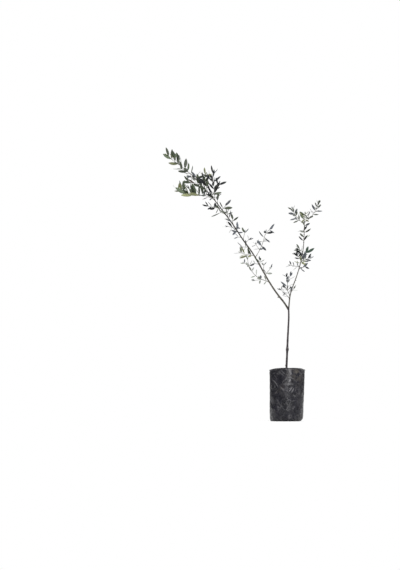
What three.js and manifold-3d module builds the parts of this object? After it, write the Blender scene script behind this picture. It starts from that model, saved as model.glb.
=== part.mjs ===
// A young olive in a black film nursery bag: a thin trunk that forks low into one long leaning bough
// and one upright leader, both set with small shoots of narrow paired leaves.
// Millimetres, +Z up, +X to the right and +Y away from the viewer.
// The origin is the centre of the bag's flat underside.
// Every angle is in degrees. A lean is measured from upright, positive to the right,
// and a depth is how far a direction turns from the picture plane towards +Y.
import * as THREE from 'three';
import { mergeVertices } from 'three/addons/utils/BufferGeometryUtils.js';
import Module from 'manifold-3d';

const wasm = await Module();
wasm.setup();

// Driving sizes

const fit = 0.3; // air between two pieces that touch on the real plant
const stride = 5; // length of one step of a limb's or a stem's route
const sliver = 0.05; // a fused solid loses edges that stand out less than this

const bag = {
  height: 206, // to the rim at its left and right
  radius: 69, // at the rim
  footRadius: 63.5,
  swellPower: 0.6, // how soon the wall widens from its foot to its rim
  lean: 6, // how far the rim's centre stands to the right of the foot's
  wall: 1.4,
  corner: 6, // rounding of the bottom edge
  rightCorner: 8, // further rounding on the right, where the film is tucked in
  rimArch: 4, // the rim's front and back stand this much higher
  pleats: 7,
  pleatDepth: 1,
  pleatTwist: 0.4, // turn of the pleats from foot to rim, in waves
  sides: 32,
  levels: [4, 12, 30, 66, 125],
};

const soil = {
  top: 188,
  roughness: 2.5,
  flatShare: 0.35, // share of the radius that is level round the trunk
  ringShare: 0.7, // where its top has one more ring of corners
  roughShare: 0.8, // where it is at its roughest
  air: 0.4, // between it and the film
};

const trunk = {
  foot: [4, 0],
  length: 259,
  leans: [0, 4, 3, 4, 4, -1],
  radii: [4.4, 4.1, 4.0, 3.8, 3.5, 3.3],
  flare: 3.4, // added to the radius at the soil
  flareHeight: 9,
  knot: { at: 98, swell: 2.2, reach: 7 }, // a healed node in the lower half
  bud: { at: 31, lean: -58, depth: -10, length: 8, radius: 1.5 },
  armLength: 15, // how far the fork's two arms run before the limbs take over
  armStep: 9,
  sides: 10,
  step: 13,
};

const budSides = 5;

const leftBough = {
  length: 678,
  leans: [-28, -40, -34, -30, -29, -31, -38, -32, -35, -38, -37, -43, -43, -41],
  depth: -6,
  radii: [3.9, 3.4, 2.95, 2.6, 2.35, 2.1, 1.8, 1.4],
  bud: { at: 64, lean: -96, depth: 10, length: 9, radius: 2.2 },
  sides: 8,
  step: 17,
};

const rightLeader = {
  length: 392,
  leans: [5, 8, 23, 20, 16, 12, 5, 3, 2],
  depth: 5,
  radii: [3, 2.3, 1.9, 1.75, 1.6, 1.45, 1.3],
  bud: { at: 128, lean: 78, depth: -20, length: 6, radius: 1.1 },
  sides: 8,
  step: 17,
};

const twig = {
  tipRadius: 0.8,
  thinRadius: 1, // at the foot of the shortest twig
  growth: 0.003, // more radius for each millimetre of length
  sides: 3,
  step: 19,
  foot: 7, // bare length between the limb and the first pair
  tipRoom: 2, // the last pair sits this far below the twig's end
};

const sideTwig = {
  share: 0.26, // its length, as a share of its stem's
  lengths: [0.8, 1.2], // and how far that varies
  stemFrom: 70, // only stems at least this long have side twigs
  every: 3, // every third node has one
  below: 5, // it leaves the stem this far below its node
  turn: 45, // between the node's own leaves
  swing: 30,
  forward: 0.72, // its heading, along the stem
  outward: 0.7, // and away from it
  pairs: 2,
  leafShare: 0.8, // length of its leaves, as a share of the stem's
  leafTurn: 40, // from one side twig to the next
  sampleStep: 2,
};

const leaf = {
  width: 0.27, // of its length
  widths: [0.88, 1.12], // how far the width varies
  lengths: [0.86, 1.12], // and the length
  thickness: 0.8,
  rootHalf: 0.3,
  rootThickness: 0.4,
  stations: [0, 0.34, 0.73, 1],
  outline: [0, 1, 0.8, 0], // share of the half width, at those stations
  spread: [66, 58, 42], // angle from the stem, from its foot to its tip
  sizes: [1, 1.04, 0.86], // of the shoot's leaf length, from foot to tip
  lift: 0.25, // pull towards the light
  facing: 0.6, // how far the upper face turns to the light
  roll: 80, // most turn about its own midrib
  bend: 14,
  downward: 0.4, // share of the leaves that bend down
  jitter: 14,
  tries: 5,
  swing: 28, // turn round the twig from one try to the next
  clear: 1.6, // least air to a limb or to another mass
  reach: 1.3, // a mass ends this many leaf lengths from its stem
  sampleSteps: 5,
  sampleShares: [-1, -0.5, 0, 0.5, 1],
};

// Each leaf and side twig has its own seed, so that one which is left out changes no other.
const seeds = { mass: 1000, sideTwigs: 300, sideTwig: 100, pair: 20, leaf: 10, node: 7 };

// Each line: name, place along the limb, length, leans from foot to tip, depth, pairs, leaf length, roll,
// and where they differ from the rest, the leaves' lift and the share of the stem that is bare.
// The roll turns the first pair round the stem, out of the picture plane.
const leftShoots = [
  ['low_left_shoot', 139, 136, [-77, -69, -46, -26, -5], -20, 6, 26, 10],
  ['low_right_shoot', 173, 44, [40, 38], 35, 2, 25, 0],
  ['low_upright_spur', 186, 26, [-2, 4], -40, 1, 20, 30],
  ['low_tuft', 217, 14, [2, 2], -25, 2, 27, 15],
  ['low_left_spur', 222, 20, [-73, -73], 40, 1, 27, 0],
  ['rising_right_shoot', 254, 142, [33, 25, 13, 50], 15, 5, 36, 45, -0.4, 0.35],
  ['curled_left_shoot', 264, 51, [-93, -70], -15, 4, 36, 45],
  ['mid_left_shoot', 305, 24, [-83, -83], 30, 2, 33, 20],
  ['mid_right_spur', 326, 20, [53, 53], -40, 1, 29, 20],
  ['mid_fork_spur', 341, 32, [13, 13], 20, 1, 33, 0],
  ['mid_left_spur', 353, 18, [-95, -95], -45, 1, 31, 0],
  ['mid_back_shoot', 375, 50, [-30, -20], 58, 3, 32, 40],
  ['bough_right_spur', 396, 14, [27, 27], 50, 1, 29, 60],
  ['bough_left_shoot', 404, 28, [-99, -80], -20, 2, 31, 20],
  ['bough_pair_spur', 418, 16, [-5, -5], -30, 2, 33, 0],
  ['bough_front_shoot', 438, 40, [-40, -30], -55, 2, 37, 50],
  ['upper_right_spur', 457, 12, [18, 18], 30, 1, 29, 20],
  ['upper_right_shoot', 492, 26, [38, 38], 25, 2, 36, 10],
  ['upper_left_spur', 471, 14, [-72, -72], 0, 1, 46, 0, 0],
  ['upper_left_shoot', 499, 54, [-92, -81], -25, 4, 33, 20],
  ['upper_tall_spur', 522, 12, [0, 0], -40, 1, 44, 80],
  ['high_upright_shoot', 540, 118, [0, -3, -11, 11], 10, 7, 40, 15],
  ['high_low_shoot', 548, 39, [-79, -79], -35, 3, 28, 30],
  ['high_right_shoot', 560, 55, [25, 38], -30, 3, 41, 20],
  ['high_left_shoot', 577, 126, [-115, -87, -86, -72, -62], 8, 9, 49, 25, 0.85],
  ['high_dark_shoot', 586, 46, [-10, -25], -35, 4, 43, 10],
  ['high_back_shoot', 600, 56, [-50, -30], 55, 3, 40, 0, 0.6],
  ['high_olive_shoot', 613, 68, [9, 9, 9], 25, 5, 37, 70],
  ['high_inner_shoot', 626, 52, [-89, -74], -25, 4, 44, 10, 0.8],
  ['tip_right_spur', 655, 23, [6, 6], 40, 2, 38, 30],
  ['tip_left_spur', 668, 28, [-72, -72], 42, 2, 30, 50],
  ['tip_shoot', 678, 124, [-51, -50, -54, -56, -43], -6, 8, 45, 10, 0.5],
];

const rightShoots = [
  ['fork_low_shoot', 47, 55, [-32, -45], 30, 3, 24, 20],
  ['fork_left_shoot', 61, 80, [-36, 6, 28], -15, 6, 31, 10],
  ['fork_right_spur', 75, 16, [40, 40], -35, 2, 24, 10],
  ['crown_right_shoot', 180, 36, [63, 63], 35, 3, 26, 10],
  ['crown_left_shoot', 190, 35, [-80, -72], 15, 3, 26, 10],
  ['crown_front_spur', 199, 22, [17, 17], -60, 3, 31, 30],
  ['crown_right_spur', 212, 31, [64, 70], -20, 3, 34, 60],
  ['crown_left_spur', 219, 30, [-43, -43], -32, 3, 33, 15],
  ['crown_back_shoot', 243, 48, [-20, -10], 58, 3, 33, 45],
  ['crown_rising_shoot', 229, 24, [43, 43], 0, 1, 43, -45, 0.1],
  ['crown_upper_spur', 256, 18, [-43, -43], 30, 2, 29, 30],
  ['slim_left_spur', 296, 10, [-15, -15], -50, 1, 38, 0, 0],
  ['slim_right_spur', 314, 10, [15, 15], 50, 1, 36, 0, 0],
  ['slim_front_shoot', 330, 12, [0, 0], -50, 1, 36, 0, 0],
  ['slim_left_shoot', 344, 10, [-25, -25], 50, 1, 38, 0, 0],
  ['slim_right_shoot', 360, 10, [15, 15], -50, 1, 35, 0, 0],
  ['top_left_shoot', 377, 78, [-54, -45, -18], -15, 5, 30, 10, 0.3, 0.4],
  ['top_right_shoot', 385, 100, [56, 42, 33, 18], 8, 6, 29, 15, 0.1, 0.45],
  ['top_shoot', 392, 34, [10, 10], 22, 6, 31, 30, -0.1],
];

const finishes = {
  film: new THREE.MeshStandardMaterial({ color: 0x1d1e20, roughness: 0.42, metalness: 0 }),
  earth: new THREE.MeshStandardMaterial({ color: 0x4b3a2d, roughness: 0.95, metalness: 0 }),
  bark: new THREE.MeshStandardMaterial({ color: 0x5b4d48, roughness: 0.85, metalness: 0 }),
  youngBark: new THREE.MeshStandardMaterial({ color: 0x7f7d6d, roughness: 0.8, metalness: 0 }),
  darkLeaf: new THREE.MeshStandardMaterial({ color: 0x3f4a38, roughness: 0.55, metalness: 0 }),
  greyLeaf: new THREE.MeshStandardMaterial({ color: 0x87907a, roughness: 0.6, metalness: 0 }),
  oliveLeaf: new THREE.MeshStandardMaterial({ color: 0x66703f, roughness: 0.55, metalness: 0 }),
};

// Angles, directions and seeded numbers

const upward = new THREE.Vector3(0, 0, 1);
const backward = new THREE.Vector3(0, 1, 0);
const sideways = new THREE.Vector3(1, 0, 0);
const radians = (angle) => (angle * Math.PI) / 180;
const clamp = THREE.MathUtils.clamp;
const between = ([low, high], random) => low + (high - low) * random();
const swung = (most, random) => (random() - 0.5) * 2 * most;

function heading(lean, depth) {
  const flat = Math.cos(radians(depth));
  return new THREE.Vector3(
    flat * Math.sin(radians(lean)),
    Math.sin(radians(depth)),
    flat * Math.cos(radians(lean)),
  );
}

// A value from a list of evenly spaced ones, at a share of the way through it.
function mix(values, share) {
  if (values.length === 1) return values[0];
  const place = clamp(share, 0, 1) * (values.length - 1);
  const low = Math.min(Math.floor(place), values.length - 2);
  return values[low] + (values[low + 1] - values[low]) * (place - low);
}

// The two directions square to a third: side lies in the picture plane where it can.
function frameOf(direction) {
  const reference = Math.abs(direction.y) < 0.95 ? backward : sideways;
  const side = new THREE.Vector3().crossVectors(reference, direction).normalize();
  const front = new THREE.Vector3().crossVectors(direction, side);
  return { side, front };
}

function turnAbout(frame, roll) {
  const across = frame.side.clone().multiplyScalar(Math.cos(radians(roll)));
  return across.addScaledVector(frame.front, Math.sin(radians(roll)));
}

// Evenly spread numbers from 0 to 1 that are the same on every run.
function seeded(seed) {
  let state = seed >>> 0;
  return () => {
    state = (state + 0x6d2b79f5) >>> 0;
    let mixed = Math.imul(state ^ (state >>> 15), state | 1);
    mixed ^= mixed + Math.imul(mixed ^ (mixed >>> 7), mixed | 61);
    return ((mixed ^ (mixed >>> 14)) >>> 0) / 4294967296;
  };
}

// Routes: a limb or twig is a walk whose lean changes smoothly from its foot to its tip

function walk(start, length, leans, depth) {
  const steps = Math.max(2, Math.round(length / stride));
  const route = { length, stride: length / steps, points: [start.clone()] };
  for (let i = 0; i < steps; i++) {
    const direction = heading(mix(leans, (i + 0.5) / steps), depth);
    route.points.push(route.points[i].clone().addScaledVector(direction, route.stride));
  }
  return route;
}

function pointOn(route, distance) {
  const place = clamp(distance / route.stride, 0, route.points.length - 1);
  const low = Math.min(Math.floor(place), route.points.length - 2);
  return route.points[low].clone().lerp(route.points[low + 1], place - low);
}

function directionOn(route, distance) {
  const ahead = pointOn(route, distance + route.stride / 2);
  return ahead.sub(pointOn(route, distance - route.stride / 2)).normalize();
}

// Closed skins: rings of points in order, where a ring of one point closes to a tip

function skin(rings) {
  const corners = [];
  const put = (...points) => points.forEach((point) => corners.push(point.x, point.y, point.z));
  const at = (ring, j) => ring[j % ring.length];
  for (let i = 0; i + 1 < rings.length; i++) {
    const [low, high] = [rings[i], rings[i + 1]];
    for (let j = 0; j < Math.max(low.length, high.length); j++) {
      if (low.length > 1) put(at(low, j), at(low, j + 1), at(high, j + 1));
      if (high.length > 1) put(at(low, j), at(high, j + 1), at(high, j));
    }
  }
  const [first, last] = [rings[0], rings[rings.length - 1]];
  for (let j = 1; j + 1 < first.length; j++) put(first[0], first[j + 1], first[j]);
  for (let j = 1; j + 1 < last.length; j++) put(last[0], last[j], last[j + 1]);
  const geometry = new THREE.BufferGeometry();
  geometry.setAttribute('position', new THREE.Float32BufferAttribute(corners, 3));
  return mergeVertices(geometry, 1e-4);
}

function ringRound(centre, direction, sides, radius) {
  const frame = frameOf(direction);
  const turns = Array.from({ length: sides }, (_, j) => turnAbout(frame, (360 * j) / sides));
  return turns.map((outward) => centre.clone().addScaledVector(outward, radius));
}

function tubeAlong(route, from, to, radiusAt, sides, step) {
  const count = Math.max(1, Math.round((to - from) / step));
  const rings = [];
  for (let i = 0; i <= count; i++) {
    const distance = from + ((to - from) * i) / count;
    const centre = pointOn(route, distance);
    rings.push(ringRound(centre, directionOn(route, distance), sides, radiusAt(distance)));
  }
  return skin(rings);
}

function solidFrom(geometry) {
  return new wasm.Manifold(new wasm.Mesh({
    numProp: 3,
    vertProperties: new Float32Array(geometry.attributes.position.array),
    triVerts: new Uint32Array(geometry.index.array),
  }));
}

function fused(geometries) {
  const whole = wasm.Manifold.union(geometries.map(solidFrom));
  const result = whole.simplify(sliver).getMesh();
  const geometry = new THREE.BufferGeometry();
  geometry.setAttribute('position', new THREE.Float32BufferAttribute(result.vertProperties, 3));
  geometry.setIndex(Array.from(result.triVerts));
  return geometry;
}

const plant = new THREE.Group();

function addPiece(name, geometry, finish) {
  geometry.computeVertexNormals();
  const mesh = new THREE.Mesh(geometry, finishes[finish]);
  mesh.name = name;
  plant.add(mesh);
}

// The bag and the soil in it

function wallRadius(angle, height) {
  const swell = (height / bag.height) ** bag.swellPower;
  const wave = Math.sin(bag.pleats * angle + (2 * Math.PI * bag.pleatTwist * height) / bag.height);
  const full = bag.footRadius + (bag.radius - bag.footRadius) * swell + bag.pleatDepth * wave * swell;
  const corner = bag.corner + bag.rightCorner * Math.max(0, Math.cos(angle));
  const below = Math.max(0, corner - height);
  return full - corner + Math.sqrt(corner * corner - below * below);
}

function bagRing(inset, heightAt, share = 1) {
  const ring = [];
  for (let j = 0; j < bag.sides; j++) {
    const angle = (2 * Math.PI * j) / bag.sides;
    const height = heightAt(angle);
    const radius = (wallRadius(angle, height) - inset) * share;
    const centre = (bag.lean * height) / bag.height;
    ring.push(new THREE.Vector3(centre + radius * Math.cos(angle), radius * Math.sin(angle), height));
  }
  return ring;
}

const wallLevels = [...bag.levels, soil.top];
const rimHeight = (angle) => bag.height + bag.rimArch * Math.sin(angle) ** 2;

function buildBag() {
  const outside = [0, ...wallLevels].map((level) => bagRing(0, () => level));
  const inside = [bag.wall, ...wallLevels].map((level) => bagRing(bag.wall, () => level)).reverse();
  return skin([
    [new THREE.Vector3(0, 0, 0)],
    ...outside,
    bagRing(0, rimHeight),
    bagRing(bag.wall, rimHeight),
    ...inside,
    [new THREE.Vector3(0, 0, bag.wall)],
  ]);
}

function soilHeight(angle, share) {
  const rough = THREE.MathUtils.smoothstep(share, soil.flatShare, soil.roughShare);
  const waves = Math.sin(3 * angle + 5 * share) + Math.sin(5 * angle - 9 * share);
  return soil.top - (soil.roughness * rough * (2 + waves)) / 4;
}

function buildSoil() {
  const inset = bag.wall + soil.air;
  const foot = bag.wall + fit;
  const sides = [foot, ...wallLevels.slice(0, -1)].map((level) => bagRing(inset, () => level));
  const shares = [1, soil.ringShare, soil.flatShare];
  const top = shares.map((share) => bagRing(inset, (angle) => soilHeight(angle, share), share));
  const middle = (bag.lean * soil.top) / bag.height;
  return skin([[new THREE.Vector3(0, 0, foot)], ...sides, ...top, [new THREE.Vector3(middle, 0, soil.top)]]);
}

// The trunk, the bough and the leader

const trunkFoot = new THREE.Vector3(trunk.foot[0], trunk.foot[1], soil.top + fit);
const trunkRoute = walk(trunkFoot, trunk.length, trunk.leans, 0);
const fork = trunkRoute.points[trunkRoute.points.length - 1];
const boughRoute = walk(fork, leftBough.length, leftBough.leans, leftBough.depth);
const leaderRoute = walk(fork, rightLeader.length, rightLeader.leans, rightLeader.depth);

function trunkRadius(distance) {
  const taper = mix(trunk.radii, distance / trunk.length);
  const flare = trunk.flare * Math.exp(-distance / trunk.flareHeight);
  const fromKnot = (distance - trunk.knot.at) / trunk.knot.reach;
  return taper + flare + trunk.knot.swell * Math.exp(-fromKnot * fromKnot);
}

const limbRadius = (limb) => (distance) => mix(limb.radii, distance / limb.length);

function budOn(route, radiusAt, bud) {
  const direction = heading(bud.lean, bud.depth);
  const centre = pointOn(route, bud.at);
  const shoulder = centre.clone().addScaledVector(direction, radiusAt(bud.at));
  const foot = ringRound(centre, direction, budSides, bud.radius);
  const neck = ringRound(shoulder, direction, budSides, bud.radius);
  return skin([foot, neck, [centre.clone().addScaledVector(direction, bud.length)]]);
}

function buildTrunk() {
  const stem = tubeAlong(trunkRoute, 0, trunk.length, trunkRadius, trunk.sides, trunk.step);
  const arms = [[boughRoute, leftBough], [leaderRoute, rightLeader]].map(([route, limb]) => (
    tubeAlong(route, 0, trunk.armLength, limbRadius(limb), limb.sides, trunk.armStep)
  ));
  return fused([stem, ...arms, budOn(trunkRoute, trunkRadius, trunk.bud)]);
}

function buildLimb(limb, route) {
  const from = trunk.armLength + fit;
  const tube = tubeAlong(route, from, limb.length, limbRadius(limb), limb.sides, limb.step);
  return fused([tube, budOn(route, limbRadius(limb), limb.bud)]);
}

// Shoots: one stem with paired leaves, every pair a quarter turn from the last

const limbs = [
  { route: trunkRoute, radiusAt: trunkRadius },
  { route: boughRoute, radiusAt: limbRadius(leftBough) },
  { route: leaderRoute, radiusAt: limbRadius(rightLeader) },
];

// The stem starts clear of its limb, or in line with the limb's end where it carries the limb on.
function layStem(row, limb, order) {
  const [name, at, length, leans, depth, ...leafing] = row;
  const [pairs, leafLength, roll, lift = leaf.lift, bare = 0] = leafing;
  const direction = heading(leans[0], depth);
  const footRadius = twig.thinRadius + twig.growth * length;
  const closeness = direction.dot(directionOn(limb.route, at));
  const slant = Math.sqrt(1 - closeness * closeness);
  const carriesOn = at >= limb.route.length;
  const side = (limb.radiusAt(at) + fit + footRadius * Math.abs(closeness)) / slant;
  const start = pointOn(limb.route, at).addScaledVector(direction, carriesOn ? fit : side);
  const stem = {
    route: walk(start, length, leans, depth),
    radiusAt: (distance) => mix([footRadius, twig.tipRadius], distance / length),
  };
  return { name, order, length, pairs, leafLength, roll, lift, bare, stem, twigs: [stem], blades: [] };
}

// How far a point lies outside a tapering limb or twig.
function gapToTube(point, tube) {
  const { points } = tube.route;
  let least = Infinity;
  for (let i = 0; i + 1 < points.length; i++) {
    const run = points[i + 1].clone().sub(points[i]);
    const share = clamp(point.clone().sub(points[i]).dot(run) / run.lengthSq(), 0, 1);
    const off = point.distanceTo(points[i].clone().addScaledVector(run, share));
    least = Math.min(least, off - tube.radiusAt((i + share) * tube.route.stride));
  }
  return least;
}

// How far a point lies from a blade, strip by strip between its stations.
function gapToBlade(point, blade) {
  let least = Infinity;
  for (let i = 0; i + 1 < blade.centres.length; i++) {
    const run = blade.centres[i + 1].clone().sub(blade.centres[i]);
    const offset = point.clone().sub(blade.centres[i]);
    const share = clamp(offset.dot(run) / run.lengthSq(), 0, 1);
    const half = blade.halves[i] + (blade.halves[i + 1] - blade.halves[i]) * share;
    const nearest = blade.centres[i].clone().addScaledVector(run, share);
    nearest.addScaledVector(blade.across, clamp(offset.dot(blade.across), -half, half));
    least = Math.min(least, point.distanceTo(nearest));
  }
  return least;
}

function bladeSamples(blade) {
  const samples = [];
  for (let i = 0; i + 1 < blade.centres.length; i++) {
    for (let step = 0; step <= leaf.sampleSteps; step++) {
      const part = step / leaf.sampleSteps;
      const centre = blade.centres[i].clone().lerp(blade.centres[i + 1], part);
      const half = mix(blade.halves.slice(i, i + 2), part);
      for (const share of leaf.sampleShares) {
        samples.push(centre.clone().addScaledVector(blade.across, half * share));
      }
    }
  }
  return samples;
}

function twigSamples({ route }) {
  const count = Math.ceil(route.length / sideTwig.sampleStep);
  return Array.from({ length: count + 1 }, (_, i) => pointOn(route, (route.length * i) / count));
}

// A new leaf or side twig has to keep clear of the limbs and of every other mass.
function staysClear(samples, mass, masses) {
  const middle = samples[Math.floor(samples.length / 2)];
  const reach = Math.max(...samples.map((sample) => sample.distanceTo(middle))) + leaf.clear;
  const others = masses.filter((other) => other !== mass);
  for (const tube of [...limbs, ...others.flatMap((other) => other.twigs)]) {
    if (gapToTube(middle, tube) > reach) continue;
    if (samples.some((sample) => gapToTube(sample, tube) < leaf.clear)) return false;
  }
  for (const blade of others.flatMap((other) => other.blades)) {
    if (gapToBlade(middle, blade) > reach) continue;
    if (samples.some((sample) => gapToBlade(sample, blade) < leaf.clear)) return false;
  }
  return true;
}

// One leaf: its midrib bends a little, and its upper face turns to the shoot's tip and to the light.
// The stem's direction is along, and outward points away from the stem.
function makeBlade(root, along, outward, spread, lift, length, random) {
  const direction = along.clone().multiplyScalar(Math.cos(radians(spread)));
  direction.addScaledVector(outward, Math.sin(radians(spread)));
  direction.addScaledVector(upward, lift).normalize();
  const facing = along.clone().addScaledVector(upward, leaf.facing);
  facing.addScaledVector(direction, -facing.dot(direction)).normalize();
  facing.applyAxisAngle(direction, radians(swung(leaf.roll, random)));
  const across = new THREE.Vector3().crossVectors(facing, direction);
  const bend = radians((random() - leaf.downward) * 2 * leaf.bend);
  const half = (length * leaf.width * between(leaf.widths, random)) / 2;
  const blade = { across, centres: [root.clone()], halves: [leaf.rootHalf], headings: [direction] };
  for (let i = 1; i < leaf.stations.length; i++) {
    const turned = direction.clone().applyAxisAngle(across, bend * leaf.stations[i]);
    const run = (leaf.stations[i] - leaf.stations[i - 1]) * length;
    blade.centres.push(blade.centres[i - 1].clone().addScaledVector(turned, run));
    blade.halves.push(half * leaf.outline[i]);
    blade.headings.push(turned);
  }
  return blade;
}

// Where the pairs of leaves sit along a twig. One pair alone sits at its end.
function nodesOn(route, pairs, bare) {
  const usable = route.length - twig.tipRoom;
  if (pairs === 1) return [usable];
  const first = Math.min(twig.foot, usable / 2) + bare * usable;
  return Array.from({ length: pairs }, (_, pair) => mix([first, usable], pair / (pairs - 1)));
}

// Leaves of one twig, in pairs. A leaf with no room is turned round the twig, and at last left out.
function growLeaves(mass, tube, growth, masses) {
  const { pairs, size, roll, bare, seed } = growth;
  nodesOn(tube.route, pairs, bare).forEach((distance, pair) => {
    const share = pairs === 1 ? 1 : pair / (pairs - 1);
    const root = pointOn(tube.route, distance);
    const along = directionOn(tube.route, distance);
    for (let side = 0; side < 2; side++) {
      const random = seeded(seed + seeds.pair * pair + seeds.leaf * side);
      const length = size * mix(leaf.sizes, share) * between(leaf.lengths, random);
      const spread = mix(leaf.spread, share) + swung(leaf.jitter, random);
      const turn = roll + 90 * pair + 180 * side + swung(leaf.jitter, random);
      for (let attempt = 0; attempt < leaf.tries; attempt++) {
        const swing = (attempt % 2 ? 1 : -1) * Math.ceil(attempt / 2) * leaf.swing;
        const outward = turnAbout(frameOf(along), turn + swing);
        const blade = makeBlade(root, along, outward, spread, mass.lift, length, random);
        const tip = blade.centres[blade.centres.length - 1];
        if (gapToTube(tip, mass.stem) > leaf.reach * mass.leafLength) continue;
        if (!staysClear(bladeSamples(blade).slice(leaf.sampleShares.length), mass, masses)) continue;
        mass.blades.push(blade);
        break;
      }
    }
  });
}

// Side twigs of the long stems leave at every third node, on alternate sides.
function growSideTwigs(mass, masses) {
  if (mass.length < sideTwig.stemFrom) return;
  const { route: stemRoute } = mass.stem;
  const nodes = nodesOn(stemRoute, mass.pairs, 0);
  for (let pair = 1; pair < mass.pairs - 1; pair += sideTwig.every) {
    const random = seeded(seeds.mass * mass.order + seeds.node * pair);
    const start = pointOn(stemRoute, nodes[pair] - sideTwig.below);
    const along = directionOn(stemRoute, nodes[pair] - sideTwig.below);
    const turn = mass.roll + 90 * pair + sideTwig.turn + (pair % 2 ? 0 : 180);
    const outward = turnAbout(frameOf(along), turn + swung(sideTwig.swing, random));
    const direction = along.clone().multiplyScalar(sideTwig.forward);
    direction.addScaledVector(outward, sideTwig.outward);
    direction.addScaledVector(upward, mass.lift).normalize();
    const length = sideTwig.share * mass.length * between(sideTwig.lengths, random);
    const end = start.clone().addScaledVector(direction, length);
    const side = { route: { length, stride: length, points: [start, end] }, radiusAt: () => twig.tipRadius };
    if (staysClear(twigSamples(side), mass, masses)) mass.twigs.push(side);
  }
}

function growMass(mass, masses) {
  const { pairs, leafLength: size, roll, bare } = mass;
  const seed = seeds.mass * mass.order;
  growSideTwigs(mass, masses);
  growLeaves(mass, mass.stem, { pairs, size, roll, bare, seed }, masses);
  mass.twigs.slice(1).forEach((side, index) => {
    growLeaves(mass, side, {
      pairs: sideTwig.pairs,
      size: sideTwig.leafShare * size,
      roll: roll + sideTwig.leafTurn * index,
      bare: 0,
      seed: seed + seeds.sideTwigs + seeds.sideTwig * index,
    }, masses);
  });
}

// A leaf is flat below and has a low ridge along its upper face.
function bladeSkin(blade) {
  const rings = blade.centres.slice(0, -1).map((centre, i) => {
    const facing = new THREE.Vector3().crossVectors(blade.headings[i], blade.across);
    const edge = (reach) => centre.clone().addScaledVector(blade.across, reach);
    const ridge = centre.clone().addScaledVector(facing, i ? leaf.thickness : leaf.rootThickness);
    return [edge(blade.halves[i]), ridge, edge(-blade.halves[i])];
  });
  return skin([...rings, [blade.centres[blade.centres.length - 1]]]);
}

function buildMass(mass) {
  const twigs = mass.twigs.map(({ route, radiusAt }) => (
    tubeAlong(route, 0, route.length, radiusAt, twig.sides, twig.step)
  ));
  return fused([...twigs, ...mass.blades.map(bladeSkin)]);
}

// Putting the plant together

addPiece('nursery_bag', buildBag(), 'film');
addPiece('soil', buildSoil(), 'earth');
addPiece('trunk', buildTrunk(), 'bark');
addPiece('left_bough', buildLimb(leftBough, boughRoute), 'youngBark');
addPiece('right_leader', buildLimb(rightLeader, leaderRoute), 'youngBark');

const masses = [
  ...leftShoots.map((row, i) => layStem(row, limbs[1], i + 1)),
  ...rightShoots.map((row, i) => layStem(row, limbs[2], i + 1 + leftShoots.length)),
];
const leafFinishes = ['darkLeaf', 'greyLeaf', 'darkLeaf', 'oliveLeaf'];
masses.forEach((mass, i) => {
  growMass(mass, masses);
  addPiece(mass.name, buildMass(mass), leafFinishes[i % leafFinishes.length]);
});

export default plant;
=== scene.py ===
from math import atan2, ceil, cos, exp, hypot, pi, radians, sin, sqrt

import bmesh
import bpy
import numpy as np
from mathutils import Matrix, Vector, noise


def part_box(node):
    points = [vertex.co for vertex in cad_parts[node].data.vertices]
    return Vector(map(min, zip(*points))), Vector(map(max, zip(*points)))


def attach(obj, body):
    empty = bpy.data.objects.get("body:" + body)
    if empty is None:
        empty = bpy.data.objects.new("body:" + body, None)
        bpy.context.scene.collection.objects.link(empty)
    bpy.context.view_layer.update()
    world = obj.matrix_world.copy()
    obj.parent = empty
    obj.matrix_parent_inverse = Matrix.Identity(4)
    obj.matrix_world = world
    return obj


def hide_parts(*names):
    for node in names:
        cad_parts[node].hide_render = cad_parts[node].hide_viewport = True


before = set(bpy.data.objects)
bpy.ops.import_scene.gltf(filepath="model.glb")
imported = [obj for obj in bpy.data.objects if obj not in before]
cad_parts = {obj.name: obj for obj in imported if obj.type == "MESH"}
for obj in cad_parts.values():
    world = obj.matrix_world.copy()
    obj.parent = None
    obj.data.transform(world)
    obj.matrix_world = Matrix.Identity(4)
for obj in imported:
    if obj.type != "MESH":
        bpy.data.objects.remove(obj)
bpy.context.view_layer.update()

mm = 0.001  # the plant is worked out in millimetres, as in its source, and meshed in metres
white = (1, 1, 1, 1)
print("frame loaded:", len(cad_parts), "nodes")


# Node helpers: a value that is a node or a socket is linked, and any other is set on the socket itself

def feed(tree, node, values):
    for name, value in values.items():
        if isinstance(value, bpy.types.Node):
            value = next(socket for socket in value.outputs if socket.enabled)
        if isinstance(value, bpy.types.NodeSocket):
            tree.links.new(value, node.inputs[name])
        else:
            node.inputs[name].default_value = value


def addNode(tree, kind, values=None, **settings):
    node = tree.nodes.new("ShaderNode" + kind)
    for key, value in settings.items():
        setattr(node, key, value)
    feed(tree, node, values or {})
    return node


def compute(tree, operation, *values, clamp=False):
    return addNode(tree, "Math", dict(enumerate(values)), operation=operation, use_clamp=clamp)


def mapRange(tree, value, low, high, start=0.0, end=1.0):
    ends = {"From Min": start, "From Max": end, "To Min": low, "To Max": high}
    return addNode(tree, "MapRange", {"Value": value, **ends})


def mixColors(tree, share, first, second):
    return addNode(tree, "Mix", {"Factor": share, "A": first, "B": second}, data_type="RGBA")


def cloud(tree, place, scale, detail, roughness):
    values = {"Vector": place, "Scale": scale, "Detail": detail, "Roughness": roughness}
    return addNode(tree, "TexNoise", values)


def attribute(tree, name, output="Fac"):
    return addNode(tree, "Attribute", attribute_name=name).outputs[output]


def objectPlace(tree):
    return addNode(tree, "TexCoord").outputs["Object"]


def useGroup(tree, group, place, **values):
    return addNode(tree, "Group", {"Place": place, **values}, node_tree=group)


def shade(tone, strength=1.0):
    return (tone[0] * strength, tone[1] * strength, tone[2] * strength, 1)


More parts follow.
